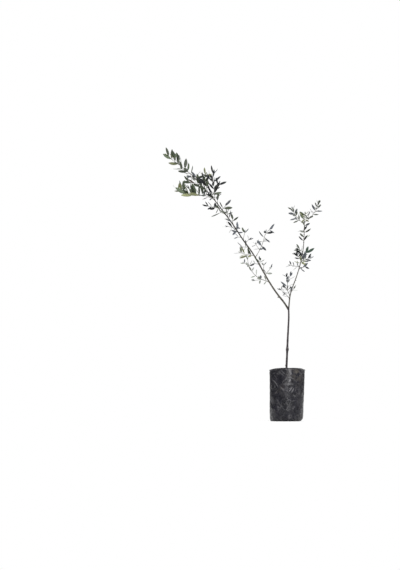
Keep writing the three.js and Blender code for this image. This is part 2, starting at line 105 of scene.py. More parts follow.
def groupWith(name, inputs, outputs):
    group = bpy.data.node_groups.new(name, "ShaderNodeTree")
    for title, value in inputs.items():
        kind = "Vector" if value is None else "Color" if isinstance(value, tuple) else "Float"
        socket = group.interface.new_socket(title, in_out="INPUT", socket_type="NodeSocket" + kind)
        if value is not None:
            socket.default_value = value
    for title in outputs:
        kind = "Color" if title == "Color" else "Float"
        group.interface.new_socket(title, in_out="OUTPUT", socket_type="NodeSocket" + kind)
    return group, group.nodes.new("NodeGroupInput").outputs, group.nodes.new("NodeGroupOutput")


# Two colours mixed by a soft blotchy pattern: leaves, bark, film and soil all have it at their own scale
def makeMottleGroup():
    inputs = {"Place": None, "Scale": 200.0, "Contrast": 0.5, "Low": (0, 0, 0, 1), "High": white}
    group, given, result = groupWith("mottle", inputs, ["Color", "Mask"])
    blotches = cloud(group, given["Place"], given["Scale"], detail=4, roughness=0.6)
    spread = compute(group, "SUBTRACT", blotches, 0.5)
    gain = compute(group, "MULTIPLY", given["Contrast"], 4.0)
    mask = compute(group, "MULTIPLY_ADD", spread, gain, 0.5, clamp=True)
    feed(group, result, {"Color": mixColors(group, mask, given["Low"], given["High"]), "Mask": mask})
    return group


# Dust lies where a surface faces up, in patches
def makeDustGroup():
    inputs = {"Place": None, "Scale": 60.0, "Amount": 0.5}
    group, given, result = groupWith("settled_dust", inputs, ["Mask"])
    normal = addNode(group, "NewGeometry").outputs["Normal"]
    slope = addNode(group, "SeparateXYZ", {0: normal}).outputs["Z"]
    facingUp = mapRange(group, slope, 0.15, 1.0, start=-0.2, end=0.9)
    patches = cloud(group, given["Place"], given["Scale"], detail=5, roughness=0.65)
    patch = mapRange(group, patches, 0.0, 1.0, start=0.44, end=0.68)
    both = compute(group, "MULTIPLY", facingUp, patch)
    feed(group, result, {"Mask": compute(group, "MULTIPLY", both, given["Amount"], clamp=True)})
    return group


# Fine grain for a bump, from two noises of different size
def makeGrainGroup():
    inputs = {"Place": None, "Coarse": 300.0, "Fine": 1500.0, "Share": 0.4}
    group, given, result = groupWith("fine_grain", inputs, ["Height"])
    coarse = cloud(group, given["Place"], given["Coarse"], detail=3, roughness=0.55)
    fine = cloud(group, given["Place"], given["Fine"], detail=2, roughness=0.5)
    both = addNode(group, "Mix", {"Factor": given["Share"], "A": coarse, "B": fine}, data_type="FLOAT")
    feed(group, result, {"Height": both})
    return group


mottle = makeMottleGroup()
dust = makeDustGroup()
grain = makeGrainGroup()


def newMaterial(name):
    material = bpy.data.materials.new(name)
    material.use_nodes = True
    material.node_tree.nodes.clear()
    return material, material.node_tree


# What every surface of the plant ends in: its colour, how rough and how shiny it is, and a fine bump
def closeMaterial(tree, color, rough, shine, height, strength, depth):
    bump = addNode(tree, "Bump", {"Height": height, "Strength": strength, "Distance": depth})
    surface = addNode(tree, "BsdfPrincipled", {
        "Base Color": color, "Roughness": rough, "Specular IOR Level": shine, "Normal": bump,
    })
    addNode(tree, "OutputMaterial", {"Surface": surface})


# Camera, light and floor

cameraSpec = {
    "place": (-0.344, -3.2, 0.04),  # a little above the ground, 3.2 m in front of the trunk
    "tiltUp": 9.05, "lens": 50, "sensor": 36,
}

lightSpec = {
    "sky": (0.05, 1.15),  # what the surroundings give the plant, from the horizon and from above
    "skyTop": 0.8,
    "backdrop": 1.0,  # what the camera sees behind it
    "aim": (-0.12, 0, 0.5),
    "lamps": {
        "key": {"place": (0.9, -2.7, 2.5), "size": (1.5, 1.5), "power": 66},
        "strip": {"place": (0.5, -3.0, 0.8), "size": (0.3, 1.7), "power": 18},  # tall, mirrored by the film
        "fill": {"place": (-1.5, -0.9, 3.1), "size": (1.6, 1.6), "power": 26},
        "rim": {"place": (0.3, 2.0, 3.0), "size": (1.4, 1.4), "power": 22},
    },
}

floorSpec = {"sides": 96, "radius": 9, "tone": 0.8, "leastGlow": 0.45, "fade": (0.1, 0.45)}


def addObject(name, data):
    thing = bpy.data.objects.new(name, data)
    bpy.context.scene.collection.objects.link(thing)
    return thing


def addCamera(spec):
    data = bpy.data.cameras.new("photo_camera")
    data.lens = spec["lens"]
    data.sensor_width = spec["sensor"]
    camera = addObject("photo_camera", data)
    camera.location = spec["place"]
    camera.rotation_euler = (radians(90 + spec["tiltUp"]), 0, 0)
    bpy.context.scene.camera = camera


def addSoftLight(name, spec, aim):
    data = bpy.data.lights.new(name, "AREA")
    data.shape = "RECTANGLE"
    data.size, data.size_y = spec["size"]
    data.energy = spec["power"]
    light = addObject(name, data)
    light.location = spec["place"]
    light.rotation_euler = (Vector(aim) - Vector(spec["place"])).to_track_quat("-Z", "Y").to_euler()


def addSurroundings(spec):
    world = bpy.data.worlds.new("white_studio")
    world.use_nodes = True
    tree = world.node_tree
    tree.nodes.clear()
    place = addNode(tree, "TexCoord").outputs["Generated"]
    height = addNode(tree, "SeparateXYZ", {0: place}).outputs["Z"]
    climb = mapRange(tree, height, *spec["sky"], 0.0, spec["skyTop"])
    sky = addNode(tree, "Background", {"Color": white, "Strength": climb})
    backdrop = addNode(tree, "Background", {"Color": white, "Strength": spec["backdrop"]})
    seen = addNode(tree, "LightPath").outputs["Is Camera Ray"]
    addNode(tree, "OutputWorld", {"Surface": addNode(tree, "MixShader", {0: seen, 1: sky, 2: backdrop})})
    bpy.context.scene.world = world


# The floor glows white for the camera, except near the plant, where its shadow shows
def addFloor(spec):
    mesh = bpy.data.meshes.new("floor")
    work = bmesh.new()
    bmesh.ops.create_circle(work, cap_ends=True, segments=spec["sides"], radius=spec["radius"])
    work.to_mesh(mesh)
    work.free()
    material, tree = newMaterial("pale_floor")
    away = addNode(tree, "VectorMath", {0: objectPlace(tree)}, operation="LENGTH")
    fade = mapRange(tree, away, spec["leastGlow"], 1.0, *spec["fade"])
    seen = addNode(tree, "LightPath").outputs["Is Camera Ray"]
    share = compute(tree, "MULTIPLY", fade, seen)
    paint = addNode(tree, "BsdfDiffuse", {"Color": shade(white, spec["tone"])})
    glow = addNode(tree, "Emission", {"Color": white, "Strength": 1.0})
    addNode(tree, "OutputMaterial", {"Surface": addNode(tree, "MixShader", {0: share, 1: paint, 2: glow})})
    mesh.materials.append(material)
    addObject("floor", mesh)


addCamera(cameraSpec)
addSurroundings(lightSpec)
for lampName, lamp in lightSpec["lamps"].items():
    addSoftLight(lampName + "_light", lamp, lightSpec["aim"])
addFloor(floorSpec)
bpy.context.scene.view_settings.view_transform = "Standard"
print("camera, light and floor set")


# Angles, routes and seeded numbers, by the same rule as the solids

upward = np.array([0.0, 0.0, 1.0])
backward = np.array([0.0, 1.0, 0.0])
sideways = np.array([1.0, 0.0, 0.0])


def unit(vector):
    return vector / sqrt(vector.dot(vector))


def heading(lean, depth):
    flat = cos(radians(depth))
    return np.array([flat * sin(radians(lean)), sin(radians(depth)), flat * cos(radians(lean))])


def mix(values, share):
    if len(values) == 1:
        return values[0]
    place = min(max(share, 0), 1) * (len(values) - 1)
    low = min(int(place), len(values) - 2)
    return values[low] + (values[low + 1] - values[low]) * (place - low)


def frameOf(direction):
    reference = backward if abs(direction[1]) < 0.95 else sideways
    side = unit(np.cross(reference, direction))
    return side, np.cross(direction, side)


def turnAbout(direction, roll):
    side, front = frameOf(direction)
    return side * cos(radians(roll)) + front * sin(radians(roll))


def spun(vector, axis, angle):
    cosine, sine = cos(angle), sin(angle)
    return vector * cosine + np.cross(axis, vector) * sine + axis * axis.dot(vector) * (1 - cosine)


def seeded(seed):
    state = seed

    def draw():
        nonlocal state
        state = (state + 0x6D2B79F5) & 0xFFFFFFFF
        mixed = ((state ^ (state >> 15)) * (state | 1)) & 0xFFFFFFFF
        mixed ^= (mixed + (((mixed ^ (mixed >> 7)) * (mixed | 61)) & 0xFFFFFFFF)) & 0xFFFFFFFF
        return (mixed ^ (mixed >> 14)) / 4294967296

    return draw


def between(ends, draw):
    return ends[0] + (ends[1] - ends[0]) * draw()


def swung(most, draw):
    return (draw() - 0.5) * 2 * most


def walk(start, length, leans, depth, step=5):
    steps = max(2, round(length / step))
    stride = length / steps
    points = [start]
    for i in range(steps):
        points.append(points[-1] + heading(mix(leans, (i + 0.5) / steps), depth) * stride)
    return {"length": length, "stride": stride, "points": np.array(points)}


def straight(start, direction, length):
    return {"length": length, "stride": length, "points": np.array([start, start + direction * length])}


def pointOn(route, distance):
    points = route["points"]
    place = min(max(distance / route["stride"], 0), len(points) - 1)
    low = min(int(place), len(points) - 2)
    return points[low] + (points[low + 1] - points[low]) * (place - low)


def directionOn(route, distance):
    half = route["stride"] / 2
    distance = min(max(distance, 0), route["length"])
    return unit(pointOn(route, distance + half) - pointOn(route, distance - half))


# The bag, trunk, bough and leader: the sizes of their solids

bag = {
    "height": 206, "radius": 69, "footRadius": 63.5, "swellPower": 0.6, "lean": 6, "corner": 6,
    "rightCorner": 8, "pleats": 7, "pleatDepth": 1, "pleatTwist": 0.4,
}
fit = 0.3  # air between two solids that touch on the real plant
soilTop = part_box("soil")[1][2] / mm

trunk = {
    "foot": (4, 0), "length": 259, "leans": [0, 4, 3, 4, 4, -1],
    "radii": [4.4, 4.1, 4.0, 3.8, 3.5, 3.3], "flare": 3.4, "flareHeight": 9,
    "knot": {"at": 98, "swell": 2.2, "reach": 7},
    "bud": {"at": 31, "lean": -58, "depth": -10, "length": 8, "radius": 1.5},
    "armLength": 15,
}
leftBough = {
    "length": 678, "leans": [-28, -40, -34, -30, -29, -31, -38, -32, -35, -38, -37, -43, -43, -41],
    "depth": -6, "radii": [3.9, 3.4, 2.95, 2.6, 2.35, 2.1, 1.8, 1.4],
    "bud": {"at": 64, "lean": -96, "depth": 10, "length": 9, "radius": 2.2},
}
rightLeader = {
    "length": 392, "leans": [5, 8, 23, 20, 16, 12, 5, 3, 2], "depth": 5,
    "radii": [3, 2.3, 1.9, 1.75, 1.6, 1.45, 1.3],
    "bud": {"at": 128, "lean": 78, "depth": -20, "length": 6, "radius": 1.1},
}

trunkFoot = np.array([trunk["foot"][0], trunk["foot"][1], soilTop + fit])
trunkRoute = walk(trunkFoot, trunk["length"], trunk["leans"], 0)


def trunkRadius(distance):
    taper = mix(trunk["radii"], distance / trunk["length"])
    flare = trunk["flare"] * exp(-distance / trunk["flareHeight"])
    fromKnot = (distance - trunk["knot"]["at"]) / trunk["knot"]["reach"]
    return taper + flare + trunk["knot"]["swell"] * exp(-fromKnot * fromKnot)


def limbFrom(fork, limb):
    return {
        "route": walk(fork, limb["length"], limb["leans"], limb["depth"]),
        "radiusAt": lambda distance: mix(limb["radii"], distance / limb["length"]),
    }


limbs = [{"route": trunkRoute, "radiusAt": trunkRadius}]
limbs += [limbFrom(trunkRoute["points"][-1], limb) for limb in (leftBough, rightLeader)]


# Shoots: one stem with paired leaves, every pair a quarter turn from the last.
# A row is name, tones, place along the limb, length, leans, depth, pairs, leaf length, roll,
# and where they differ from the rest, the leaves' lift and the bare share of the stem.

twig = {"tipRadius": 0.8, "thinRadius": 1, "growth": 0.003, "foot": 7, "tipRoom": 2}
sideTwig = {
    "share": 0.26, "lengths": (0.8, 1.2), "stemFrom": 70, "every": 3, "below": 5, "turn": 45, "swing": 30,
    "forward": 0.72, "outward": 0.7, "pairs": 2, "leafShare": 0.8, "leafTurn": 40, "sampleStep": 2,
}
leaf = {
    "width": 0.27, "widths": (0.88, 1.12), "lengths": (0.86, 1.12), "rootHalf": 0.3,
    "stations": [0, 0.34, 0.73, 1], "outline": [0, 1, 0.8, 0], "spread": [66, 58, 42],
    "sizes": [1, 1.04, 0.86], "lift": 0.25, "facing": 0.6, "roll": 80, "bend": 14, "downward": 0.4,
    "jitter": 14, "tries": 5, "swing": 28, "clear": 1.6, "reach": 1.3,
    "sampleSteps": 5, "sampleShares": (-1, -0.5, 0, 0.5, 1),
}
seeds = {"mass": 1000, "sideTwigs": 300, "sideTwig": 100, "pair": 20, "leaf": 10, "node": 7}

leftShoots = [
    ("low_left_shoot", "faint", 139, 136, [-77, -69, -46, -26, -5], -20, 6, 26, 10),
    ("low_right_shoot", "faint", 173, 44, [40, 38], 35, 2, 25, 0),
    ("low_upright_spur", "grey", 186, 26, [-2, 4], -40, 1, 20, 30),
    ("low_tuft", "deep", 217, 14, [2, 2], -25, 2, 27, 15),
    ("low_left_spur", "slate", 222, 20, [-73, -73], 40, 1, 27, 0),
    ("rising_right_shoot", "dusk", 254, 142, [33, 25, 13, 50], 15, 5, 36, 45, -0.4, 0.35),
    ("curled_left_shoot", "golden", 264, 51, [-93, -70], -15, 4, 36, 45),
    ("mid_left_shoot", "dusk", 305, 24, [-83, -83], 30, 2, 33, 20),
    ("mid_right_spur", "dusk", 326, 20, [53, 53], -40, 1, 29, 20),
    ("mid_fork_spur", "deep", 341, 32, [13, 13], 20, 1, 33, 0),
    ("mid_left_spur", "dusk", 353, 18, [-95, -95], -45, 1, 31, 0),
    ("mid_back_shoot", "slate", 375, 50, [-30, -20], 58, 3, 32, 40),
    ("bough_right_spur", "dusk", 396, 14, [27, 27], 50, 1, 29, 60),
    ("bough_left_shoot", "slate", 404, 28, [-99, -80], -20, 2, 31, 20),
    ("bough_pair_spur", "deep", 418, 16, [-5, -5], -30, 2, 33, 0),
    ("bough_front_shoot", "deep", 438, 40, [-40, -30], -55, 2, 37, 50),
    ("upper_right_spur", "deep", 457, 12, [18, 18], 30, 1, 29, 20),
    ("upper_right_shoot", "deep", 492, 26, [38, 38], 25, 2, 36, 10),
    ("upper_left_spur", "deep", 471, 14, [-72, -72], 0, 1, 46, 0, 0),
    ("upper_left_shoot", "night", 499, 54, [-92, -81], -25, 4, 33, 20),
    ("upper_tall_spur", "deep", 522, 12, [0, 0], -40, 1, 44, 80),
    ("high_upright_shoot", "night", 540, 118, [0, -3, -11, 11], 10, 7, 40, 15),
    ("high_low_shoot", "slate", 548, 39, [-79, -79], -35, 3, 28, 30),
    ("high_right_shoot", "night", 560, 55, [25, 38], -30, 3, 41, 20),
    ("high_left_shoot", "fresh", 577, 126, [-115, -87, -86, -72, -62], 8, 9, 49, 25, 0.85),
    ("high_dark_shoot", "night", 586, 46, [-10, -25], -35, 4, 43, 10),
    ("high_back_shoot", "deep", 600, 56, [-50, -30], 55, 3, 40, 0, 0.6),
    ("high_olive_shoot", "golden", 613, 68, [9, 9, 9], 25, 5, 37, 70),
    ("high_inner_shoot", "rust", 626, 52, [-89, -74], -25, 4, 44, 10, 0.8),
    ("tip_right_spur", "green", 655, 23, [6, 6], 40, 2, 38, 30),
    ("tip_left_spur", "grey", 668, 28, [-72, -72], 42, 2, 30, 50),
    ("tip_shoot", "fresh", 678, 124, [-51, -50, -54, -56, -43], -6, 8, 45, 10, 0.5),
]

rightShoots = [
    ("fork_low_shoot", "dusk", 47, 55, [-32, -45], 30, 3, 24, 20),
    ("fork_left_shoot", "dusk", 61, 80, [-36, 6, 28], -15, 6, 31, 10),
    ("fork_right_spur", "deep", 75, 16, [40, 40], -35, 2, 24, 10),
    ("crown_right_shoot", "dusk", 180, 36, [63, 63], 35, 3, 26, 10),
    ("crown_left_shoot", "slate", 190, 35, [-80, -72], 15, 3, 26, 10),
    ("crown_front_spur", "golden", 199, 22, [17, 17], -60, 3, 31, 30),
    ("crown_right_spur", "dusk", 212, 31, [64, 70], -20, 3, 34, 60),
    ("crown_left_spur", "night", 219, 30, [-43, -43], -32, 3, 33, 15),
    ("crown_back_shoot", "dusk", 243, 48, [-20, -10], 58, 3, 33, 45),
    ("crown_rising_shoot", "fern", 229, 24, [43, 43], 0, 1, 43, -45, 0.1),
    ("crown_upper_spur", "deep", 256, 18, [-43, -43], 30, 2, 29, 30),
    ("slim_left_spur", "slate", 296, 10, [-15, -15], -50, 1, 38, 0, 0),
    ("slim_right_spur", "grey", 314, 10, [15, 15], 50, 1, 36, 0, 0),
    ("slim_front_shoot", "grey", 330, 12, [0, 0], -50, 1, 36, 0, 0),
    ("slim_left_shoot", "night", 344, 10, [-25, -25], 50, 1, 38, 0, 0),
    ("slim_right_shoot", "grey", 360, 10, [15, 15], -50, 1, 35, 0, 0),
    ("top_left_shoot", "deep", 377, 78, [-54, -45, -18], -15, 5, 30, 10, 0.3, 0.4),
    ("top_right_shoot", "deep", 385, 100, [56, 42, 33, 18], 8, 6, 29, 15, 0.1, 0.45),
    ("top_shoot", "mossy", 392, 34, [10, 10], 22, 6, 31, 30, -0.1),
]


def layStem(row, limb, order):
    name, tones, at, length, leans, depth, pairs, leafLength, roll, *rest = row
    lift, bare = (rest + [leaf["lift"], 0][len(rest):])[:2]
    direction = heading(leans[0], depth)
    closeness = direction.dot(directionOn(limb["route"], at))
    slant = sqrt(1 - closeness * closeness)
    foot = twig["thinRadius"] + twig["growth"] * length
    side = (limb["radiusAt"](at) + fit + foot * abs(closeness)) / slant
    carriesOn = at >= limb["route"]["length"]
    start = pointOn(limb["route"], at) + direction * (fit if carriesOn else side)
    stem = {
        "route": walk(start, length, leans, depth),
        "radiusAt": lambda distance: mix([foot, twig["tipRadius"]], distance / length),
    }
    return {
        "name": name, "tones": tones, "order": order, "length": length, "pairs": pairs,
        "leafLength": leafLength, "roll": roll, "lift": lift, "bare": bare, "at": at, "limb": limb,
        "heading": direction, "sunk": 0 if carriesOn else side, "twigs": [stem], "blades": [],
    }


# The runs of every limb, twig and blade so far, for the clearance tests. A row is a run's start, its
# direction, across, half width and radius at both ends, and whose it is
shelf = {"rows": np.zeros((4096, 14)), "count": 0}


def shelve(points, order, across, halves, radii):
    rows = shelf["rows"][shelf["count"]:shelf["count"] + len(points) - 1]
    rows[:, 0:3], rows[:, 3:6], rows[:, 6:9] = points[:-1], np.diff(points, axis=0), across
    rows[:, 9:13] = np.column_stack([halves[:-1], halves[1:], radii[:-1], radii[1:]])
    rows[:, 13] = order
    shelf["count"] += len(rows)
    return rows


def shelveTube(tube, order):
    points = tube["route"]["points"]
    radii = np.array([tube["radiusAt"](i * tube["route"]["stride"]) for i in range(len(points))])
    return shelve(points, order, 0, radii * 0, radii)


def gapsTo(points, rows):
    offset = points[:, None] - rows[None, :, 0:3]
    run, across = rows[:, 3:6], rows[:, 6:9]
    share = np.clip((offset * run).sum(2) / (run * run).sum(1), 0, 1)
    half, radius = (rows[:, i] + (rows[:, i + 1] - rows[:, i]) * share for i in (9, 11))
    reach = np.clip((offset * across).sum(2), -half, half)
    return np.linalg.norm(offset - run * share[..., None] - across * reach[..., None], axis=2) - radius


def staysClear(samples, order):
    rows = shelf["rows"][:shelf["count"]]
    rows = rows[rows[:, -1] != order]
    middle = samples[len(samples) // 2][None]
    reach = np.linalg.norm(samples - middle, axis=1).max() + leaf["clear"]
    rows = rows[gapsTo(middle, rows)[0] <= reach]
    return not len(rows) or gapsTo(samples, rows).min() >= leaf["clear"]


# Points over a blade, without those at its root, which lies in its own stem
def samplesOn(blade):
    samples = []
    centres, halves = blade["centres"], blade["halves"]
    for i in range(len(centres) - 1):
        for step in range(leaf["sampleSteps"] + 1):
            part = step / leaf["sampleSteps"]
            centre = centres[i] + (centres[i + 1] - centres[i]) * part
            half = mix(halves[i:i + 2], part)
            samples += [centre + blade["across"] * half * share for share in leaf["sampleShares"]]
    return np.array(samples[len(leaf["sampleShares"]):])


def makeBlade(root, along, outward, spread, lift, length, draw):
    direction = along * cos(radians(spread)) + outward * sin(radians(spread))
    direction = unit(direction + upward * lift)
    facing = along + upward * leaf["facing"]
    facing = unit(facing - direction * facing.dot(direction))
    facing = spun(facing, direction, radians(swung(leaf["roll"], draw)))
    across = np.cross(facing, direction)
    bend = radians((draw() - leaf["downward"]) * 2 * leaf["bend"])
    half = length * leaf["width"] * between(leaf["widths"], draw) / 2
    centres, halves = [root], [leaf["rootHalf"]]
    stations = leaf["stations"]
    for i in range(1, len(stations)):
        turned = spun(direction, across, bend * stations[i])
        centres.append(centres[-1] + turned * (stations[i] - stations[i - 1]) * length)
        halves.append(half * leaf["outline"][i])
    return {
        "centres": np.array(centres), "halves": np.array(halves), "across": across, "bend": bend,
        "direction": direction, "half": half, "length": length,
    }


def nodesOn(route, pairs, bare):
    usable = route["length"] - twig["tipRoom"]
    if pairs == 1:
        return [usable]
    first = min(twig["foot"], usable / 2) + bare * usable
    return [mix([first, usable], pair / (pairs - 1)) for pair in range(pairs)]


def growLeaves(mass, tube, pairs, size, roll, bare, seed):
    tube["nodes"] = nodesOn(tube["route"], pairs, bare)
    for pair, distance in enumerate(tube["nodes"]):
        share = 1 if pairs == 1 else pair / (pairs - 1)
        root, along = pointOn(tube["route"], distance), directionOn(tube["route"], distance)
        for side in range(2):
            draw = seeded(seed + seeds["pair"] * pair + seeds["leaf"] * side)
            length = size * mix(leaf["sizes"], share) * between(leaf["lengths"], draw)
            spread = mix(leaf["spread"], share) + swung(leaf["jitter"], draw)
            turn = roll + 90 * pair + 180 * side + swung(leaf["jitter"], draw)
            for attempt in range(leaf["tries"]):
                swing = (1 if attempt % 2 else -1) * ceil(attempt / 2) * leaf["swing"]
                outward = turnAbout(along, turn + swing)
                blade = makeBlade(root, along, outward, spread, mass["lift"], length, draw)
                fromStem = gapsTo(blade["centres"][-1:], mass["stemRows"]).min()
                isNear = fromStem <= leaf["reach"] * mass["leafLength"]
                if isNear and staysClear(samplesOn(blade), mass["order"]):
                    mass["blades"].append(blade)
                    halves = blade["halves"]
                    shelve(blade["centres"], mass["order"], blade["across"], halves, halves * 0)
                    break


def growSideTwigs(mass):
    if mass["length"] < sideTwig["stemFrom"]:
        return
    stem = mass["twigs"][0]["route"]
    nodes = nodesOn(stem, mass["pairs"], 0)
    for pair in range(1, mass["pairs"] - 1, sideTwig["every"]):
        draw = seeded(seeds["mass"] * mass["order"] + seeds["node"] * pair)
        start = pointOn(stem, nodes[pair] - sideTwig["below"])
        along = directionOn(stem, nodes[pair] - sideTwig["below"])
        turn = mass["roll"] + 90 * pair + sideTwig["turn"] + (0 if pair % 2 else 180)
        outward = turnAbout(along, turn + swung(sideTwig["swing"], draw))
        direction = along * sideTwig["forward"] + outward * sideTwig["outward"]
        direction = unit(direction + upward * mass["lift"])
        length = sideTwig["share"] * mass["length"] * between(sideTwig["lengths"], draw)
        side = {"route": straight(start, direction, length), "radiusAt": lambda distance: twig["tipRadius"]}
        count = ceil(length / sideTwig["sampleStep"])
        samples = np.array([pointOn(side["route"], length * i / count) for i in range(count + 1)])
        if staysClear(samples, mass["order"]):
            mass["twigs"].append(side)
            shelveTube(side, mass["order"])


def growMass(mass):
    growSideTwigs(mass)
    size, roll, seed = mass["leafLength"], mass["roll"], seeds["mass"] * mass["order"]
    growLeaves(mass, mass["twigs"][0], mass["pairs"], size, roll, mass["bare"], seed)
    for index, side in enumerate(mass["twigs"][1:]):
        sideRoll = roll + sideTwig["leafTurn"] * index
        sideSeed = seed + seeds["sideTwigs"] + seeds["sideTwig"] * index
        growLeaves(mass, side, sideTwig["pairs"], sideTwig["leafShare"] * size, sideRoll, 0, sideSeed)


# Young growth, finer than what the solids carry: a small pair at every tip and short shoots in some axils

young = {
    "seed": 500000, "lengths": (0.8, 1.2), "tipSwing": 15, "axilSwing": 60,
    "tipFrom": 20, "axilFrom": 40,  # only stems at least this long have them
    "tipPair": (0.42, 17), "axilPair": (0.36, 26),  # how long their two leaves are, and how spread
    "axilShare": 0.2, "axilLength": (4, 8), "axilSpread": 42, "axilRadius": 0.5,
    "samples": (0.4, 0.7, 1, 1.4),
}


def youngPair(mass, start, along, turn, pair, draw):
    size, spread = pair
    for side in range(2):
        outward = turnAbout(along, turn + 180 * side)
        length = size * mass["leafLength"] * between(young["lengths"], draw)
        mass["youngBlades"].append(makeBlade(start, along, outward, spread, 0, length, draw))


def growAxil(mass, route, distance, index, draw):
    along = directionOn(route, distance)
    outward = turnAbout(along, mass["roll"] + 90 * index + 180 * (draw() > 0.5))
    spread = radians(young["axilSpread"])
    direction = unit(along * cos(spread) + outward * sin(spread))
    length = between(young["axilLength"], draw)
    start = pointOn(route, distance)
    samples = np.array([start + direction * length * share for share in young["samples"]])
    if staysClear(samples, mass["order"]):
        path = straight(start, direction, length)
        shoot = {"route": path, "nodes": [], "radiusAt": lambda distance: young["axilRadius"]}
        mass["youngTwigs"].append(shoot)
        turn = 90 * index + young["axilSwing"] * draw()
        youngPair(mass, path["points"][-1], direction, turn, young["axilPair"], draw)


def growYoung(mass):
    draw = seeded(young["seed"] + mass["order"])
    mass["youngBlades"], mass["youngTwigs"] = [], []
    for tube in mass["twigs"]:
        route = tube["route"]
        if route["length"] >= young["tipFrom"]:
            turn = mass["roll"] + 90 * len(tube["nodes"]) + swung(young["tipSwing"], draw)
            along = directionOn(route, route["length"])
            youngPair(mass, route["points"][-1], along, turn, young["tipPair"], draw)
        for index, distance in enumerate(tube["nodes"]):
            if route["length"] >= young["axilFrom"] and draw() <= young["axilShare"]:
                growAxil(mass, route, distance, index, draw)


masses = [layStem(row, limbs[1], i + 1) for i, row in enumerate(leftShoots)]
masses += [layStem(row, limbs[2], i + 1 + len(leftShoots)) for i, row in enumerate(rightShoots)]
for limb in limbs:
    shelveTube(limb, 0)
for mass in masses:
    mass["stemRows"] = shelveTube(mass["twigs"][0], mass["order"])
for mass in masses:
    growMass(mass)
print("shoots grown:", len(masses), "with", sum(len(mass["blades"]) for mass in masses), "leaves")
for mass in masses:
    growYoung(mass)


# Meshing helpers: everything below is meshed from millimetres

def addPiece(name, points, faces, materials, replaced=(), faceMaterials=None, attributes=None):
    mesh = bpy.data.meshes.new(name)
    mesh.from_pydata((np.asarray(points) * mm).tolist(), [], faces)
    for material in materials:
        mesh.materials.append(material)
    if faceMaterials is not None:
        mesh.polygons.foreach_set("material_index", faceMaterials)
    mesh.polygons.foreach_set("use_smooth", [True] * len(faces))
    for key, values in (attributes or {}).items():
        values = np.asarray(values, dtype=float)
        isVector = values.ndim == 2
        layer = mesh.attributes.new(key, "FLOAT_VECTOR" if isVector else "FLOAT", "POINT")
        layer.data.foreach_set("vector" if isVector else "value", values.ravel())
    mesh.update()
    piece = addObject(name, mesh)
    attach(piece, "root")
    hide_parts(*replaced)


# Quads between rings of equal size, closed at both ends by a face
def tubeFaces(rings, sides, start=0):
    faces = []
    for low in range(start, start + (rings - 1) * sides, sides):
        high = low + sides
        for j in range(sides):
            k = (j + 1) % sides
            faces.append((low + j, high + j, high + k, low + k))
    last = start + (rings - 1) * sides
    return faces + [tuple(range(start, start + sides)), tuple(reversed(range(last, last + sides)))]


# The same faces, seen from their other side
def flipped(faces):
    return [(face[0], *face[:0:-1]) for face in faces]


def roundAngles(sides):
    return np.arange(sides) * 2 * pi / sides


def spacedOut(start, end, step, least=1):
    count = max(least, round((end - start) / step))
    return [start + (end - start) * i / count for i in range(count + 1)]


# Rings go clockwise as seen from the tip, so that tubeFaces gives outward faces
def ringAround(centre, direction, radii, angles):
    side, front = frameOf(direction)
    turned = np.outer(np.cos(angles), side) - np.outer(np.sin(angles), front)
    return centre + turned * np.reshape(radii, (-1, 1))


# A distance below 0 lies in front of the route's start
def ringAt(route, distance, radii, angles):
    direction = directionOn(route, distance)
    centre = pointOn(route, distance) + direction * min(distance, 0)
    return ringAround(centre, direction, radii, angles)


# Where a ring's points would lie on a straight limb, so that the bark's pattern follows the limb
def straightened(angles, radius, distance):
    return np.column_stack([np.cos(angles) * radius, np.sin(angles) * radius, angles * 0 + distance])


# Leaves

leafLook = {
    "stations": [0, 0.045, 0.11, 0.22, 0.36, 0.51, 0.66, 0.79, 0.89, 0.96],
    "stalk": 0.08,  # share of the length before the blade opens
    "stalkHalf": 0.5, "spindle": 0.8, "fullness": 1.06,
    "top": [-1, -0.55, -0.09, 0.09, 0.55, 1],
    "under": [0.6, 0, -0.6],
    "strips": [0, 0, 2, 0, 0, 1, 1, 1, 1],  # which finish each strip round a leaf has, by its place below
    "finishes": [("upper", 0.42, 0.00012), ("under", 0.72, 0.00008), ("rib", 0.55, 0.00005)],  # gloss, veins
    "thickness": 0.42,
    "rib": 0.28,  # how far the midrib stands out below
    "cup": (0.06, 0.3),  # how far the margins turn down, of the half width
    "sickle": 7, "twist": 13, "seed": 700000,
    "glossSpread": (-0.06, 0.1), "blotch": (0.78, 1.28), "light": (0.65, 1.35),
}

# Upper side, under side, rib, shine and slot. Apart from silver, the under sides are painted darker than
# olive undersides are: painted shade for undersides seen from below
leafTones = {
    # the near-black tone is painted shade on both sides, for leaves deep in the crown's shade
    "night": ((0.006, 0.008, 0.009), (0.016, 0.020, 0.022), (0.034, 0.040, 0.036), 0.2, "dark_foliage"),
    "deep": ((0.024, 0.034, 0.018), (0.056, 0.070, 0.044), (0.10, 0.12, 0.07), 0.42, "dark_foliage"),
    "green": ((0.046, 0.068, 0.034), (0.096, 0.122, 0.076), (0.17, 0.20, 0.12), 0.42, "dark_foliage"),
    "fern": ((0.013, 0.030, 0.019), (0.034, 0.060, 0.042), (0.07, 0.10, 0.07), 0.3, "dark_foliage"),
    "slate": ((0.032, 0.039, 0.048), (0.080, 0.090, 0.104), (0.13, 0.15, 0.14), 0.42, "grey_foliage"),
    "silver": ((0.170, 0.195, 0.155), (0.310, 0.335, 0.295), (0.33, 0.36, 0.27), 0.42, "grey_foliage"),
    "olive": ((0.115, 0.128, 0.040), (0.205, 0.220, 0.110), (0.28, 0.29, 0.14), 0.42, "olive_foliage"),
    "rust": ((0.075, 0.036, 0.020), (0.110, 0.066, 0.042), (0.14, 0.09, 0.05), 0.42, "dark_foliage"),
}

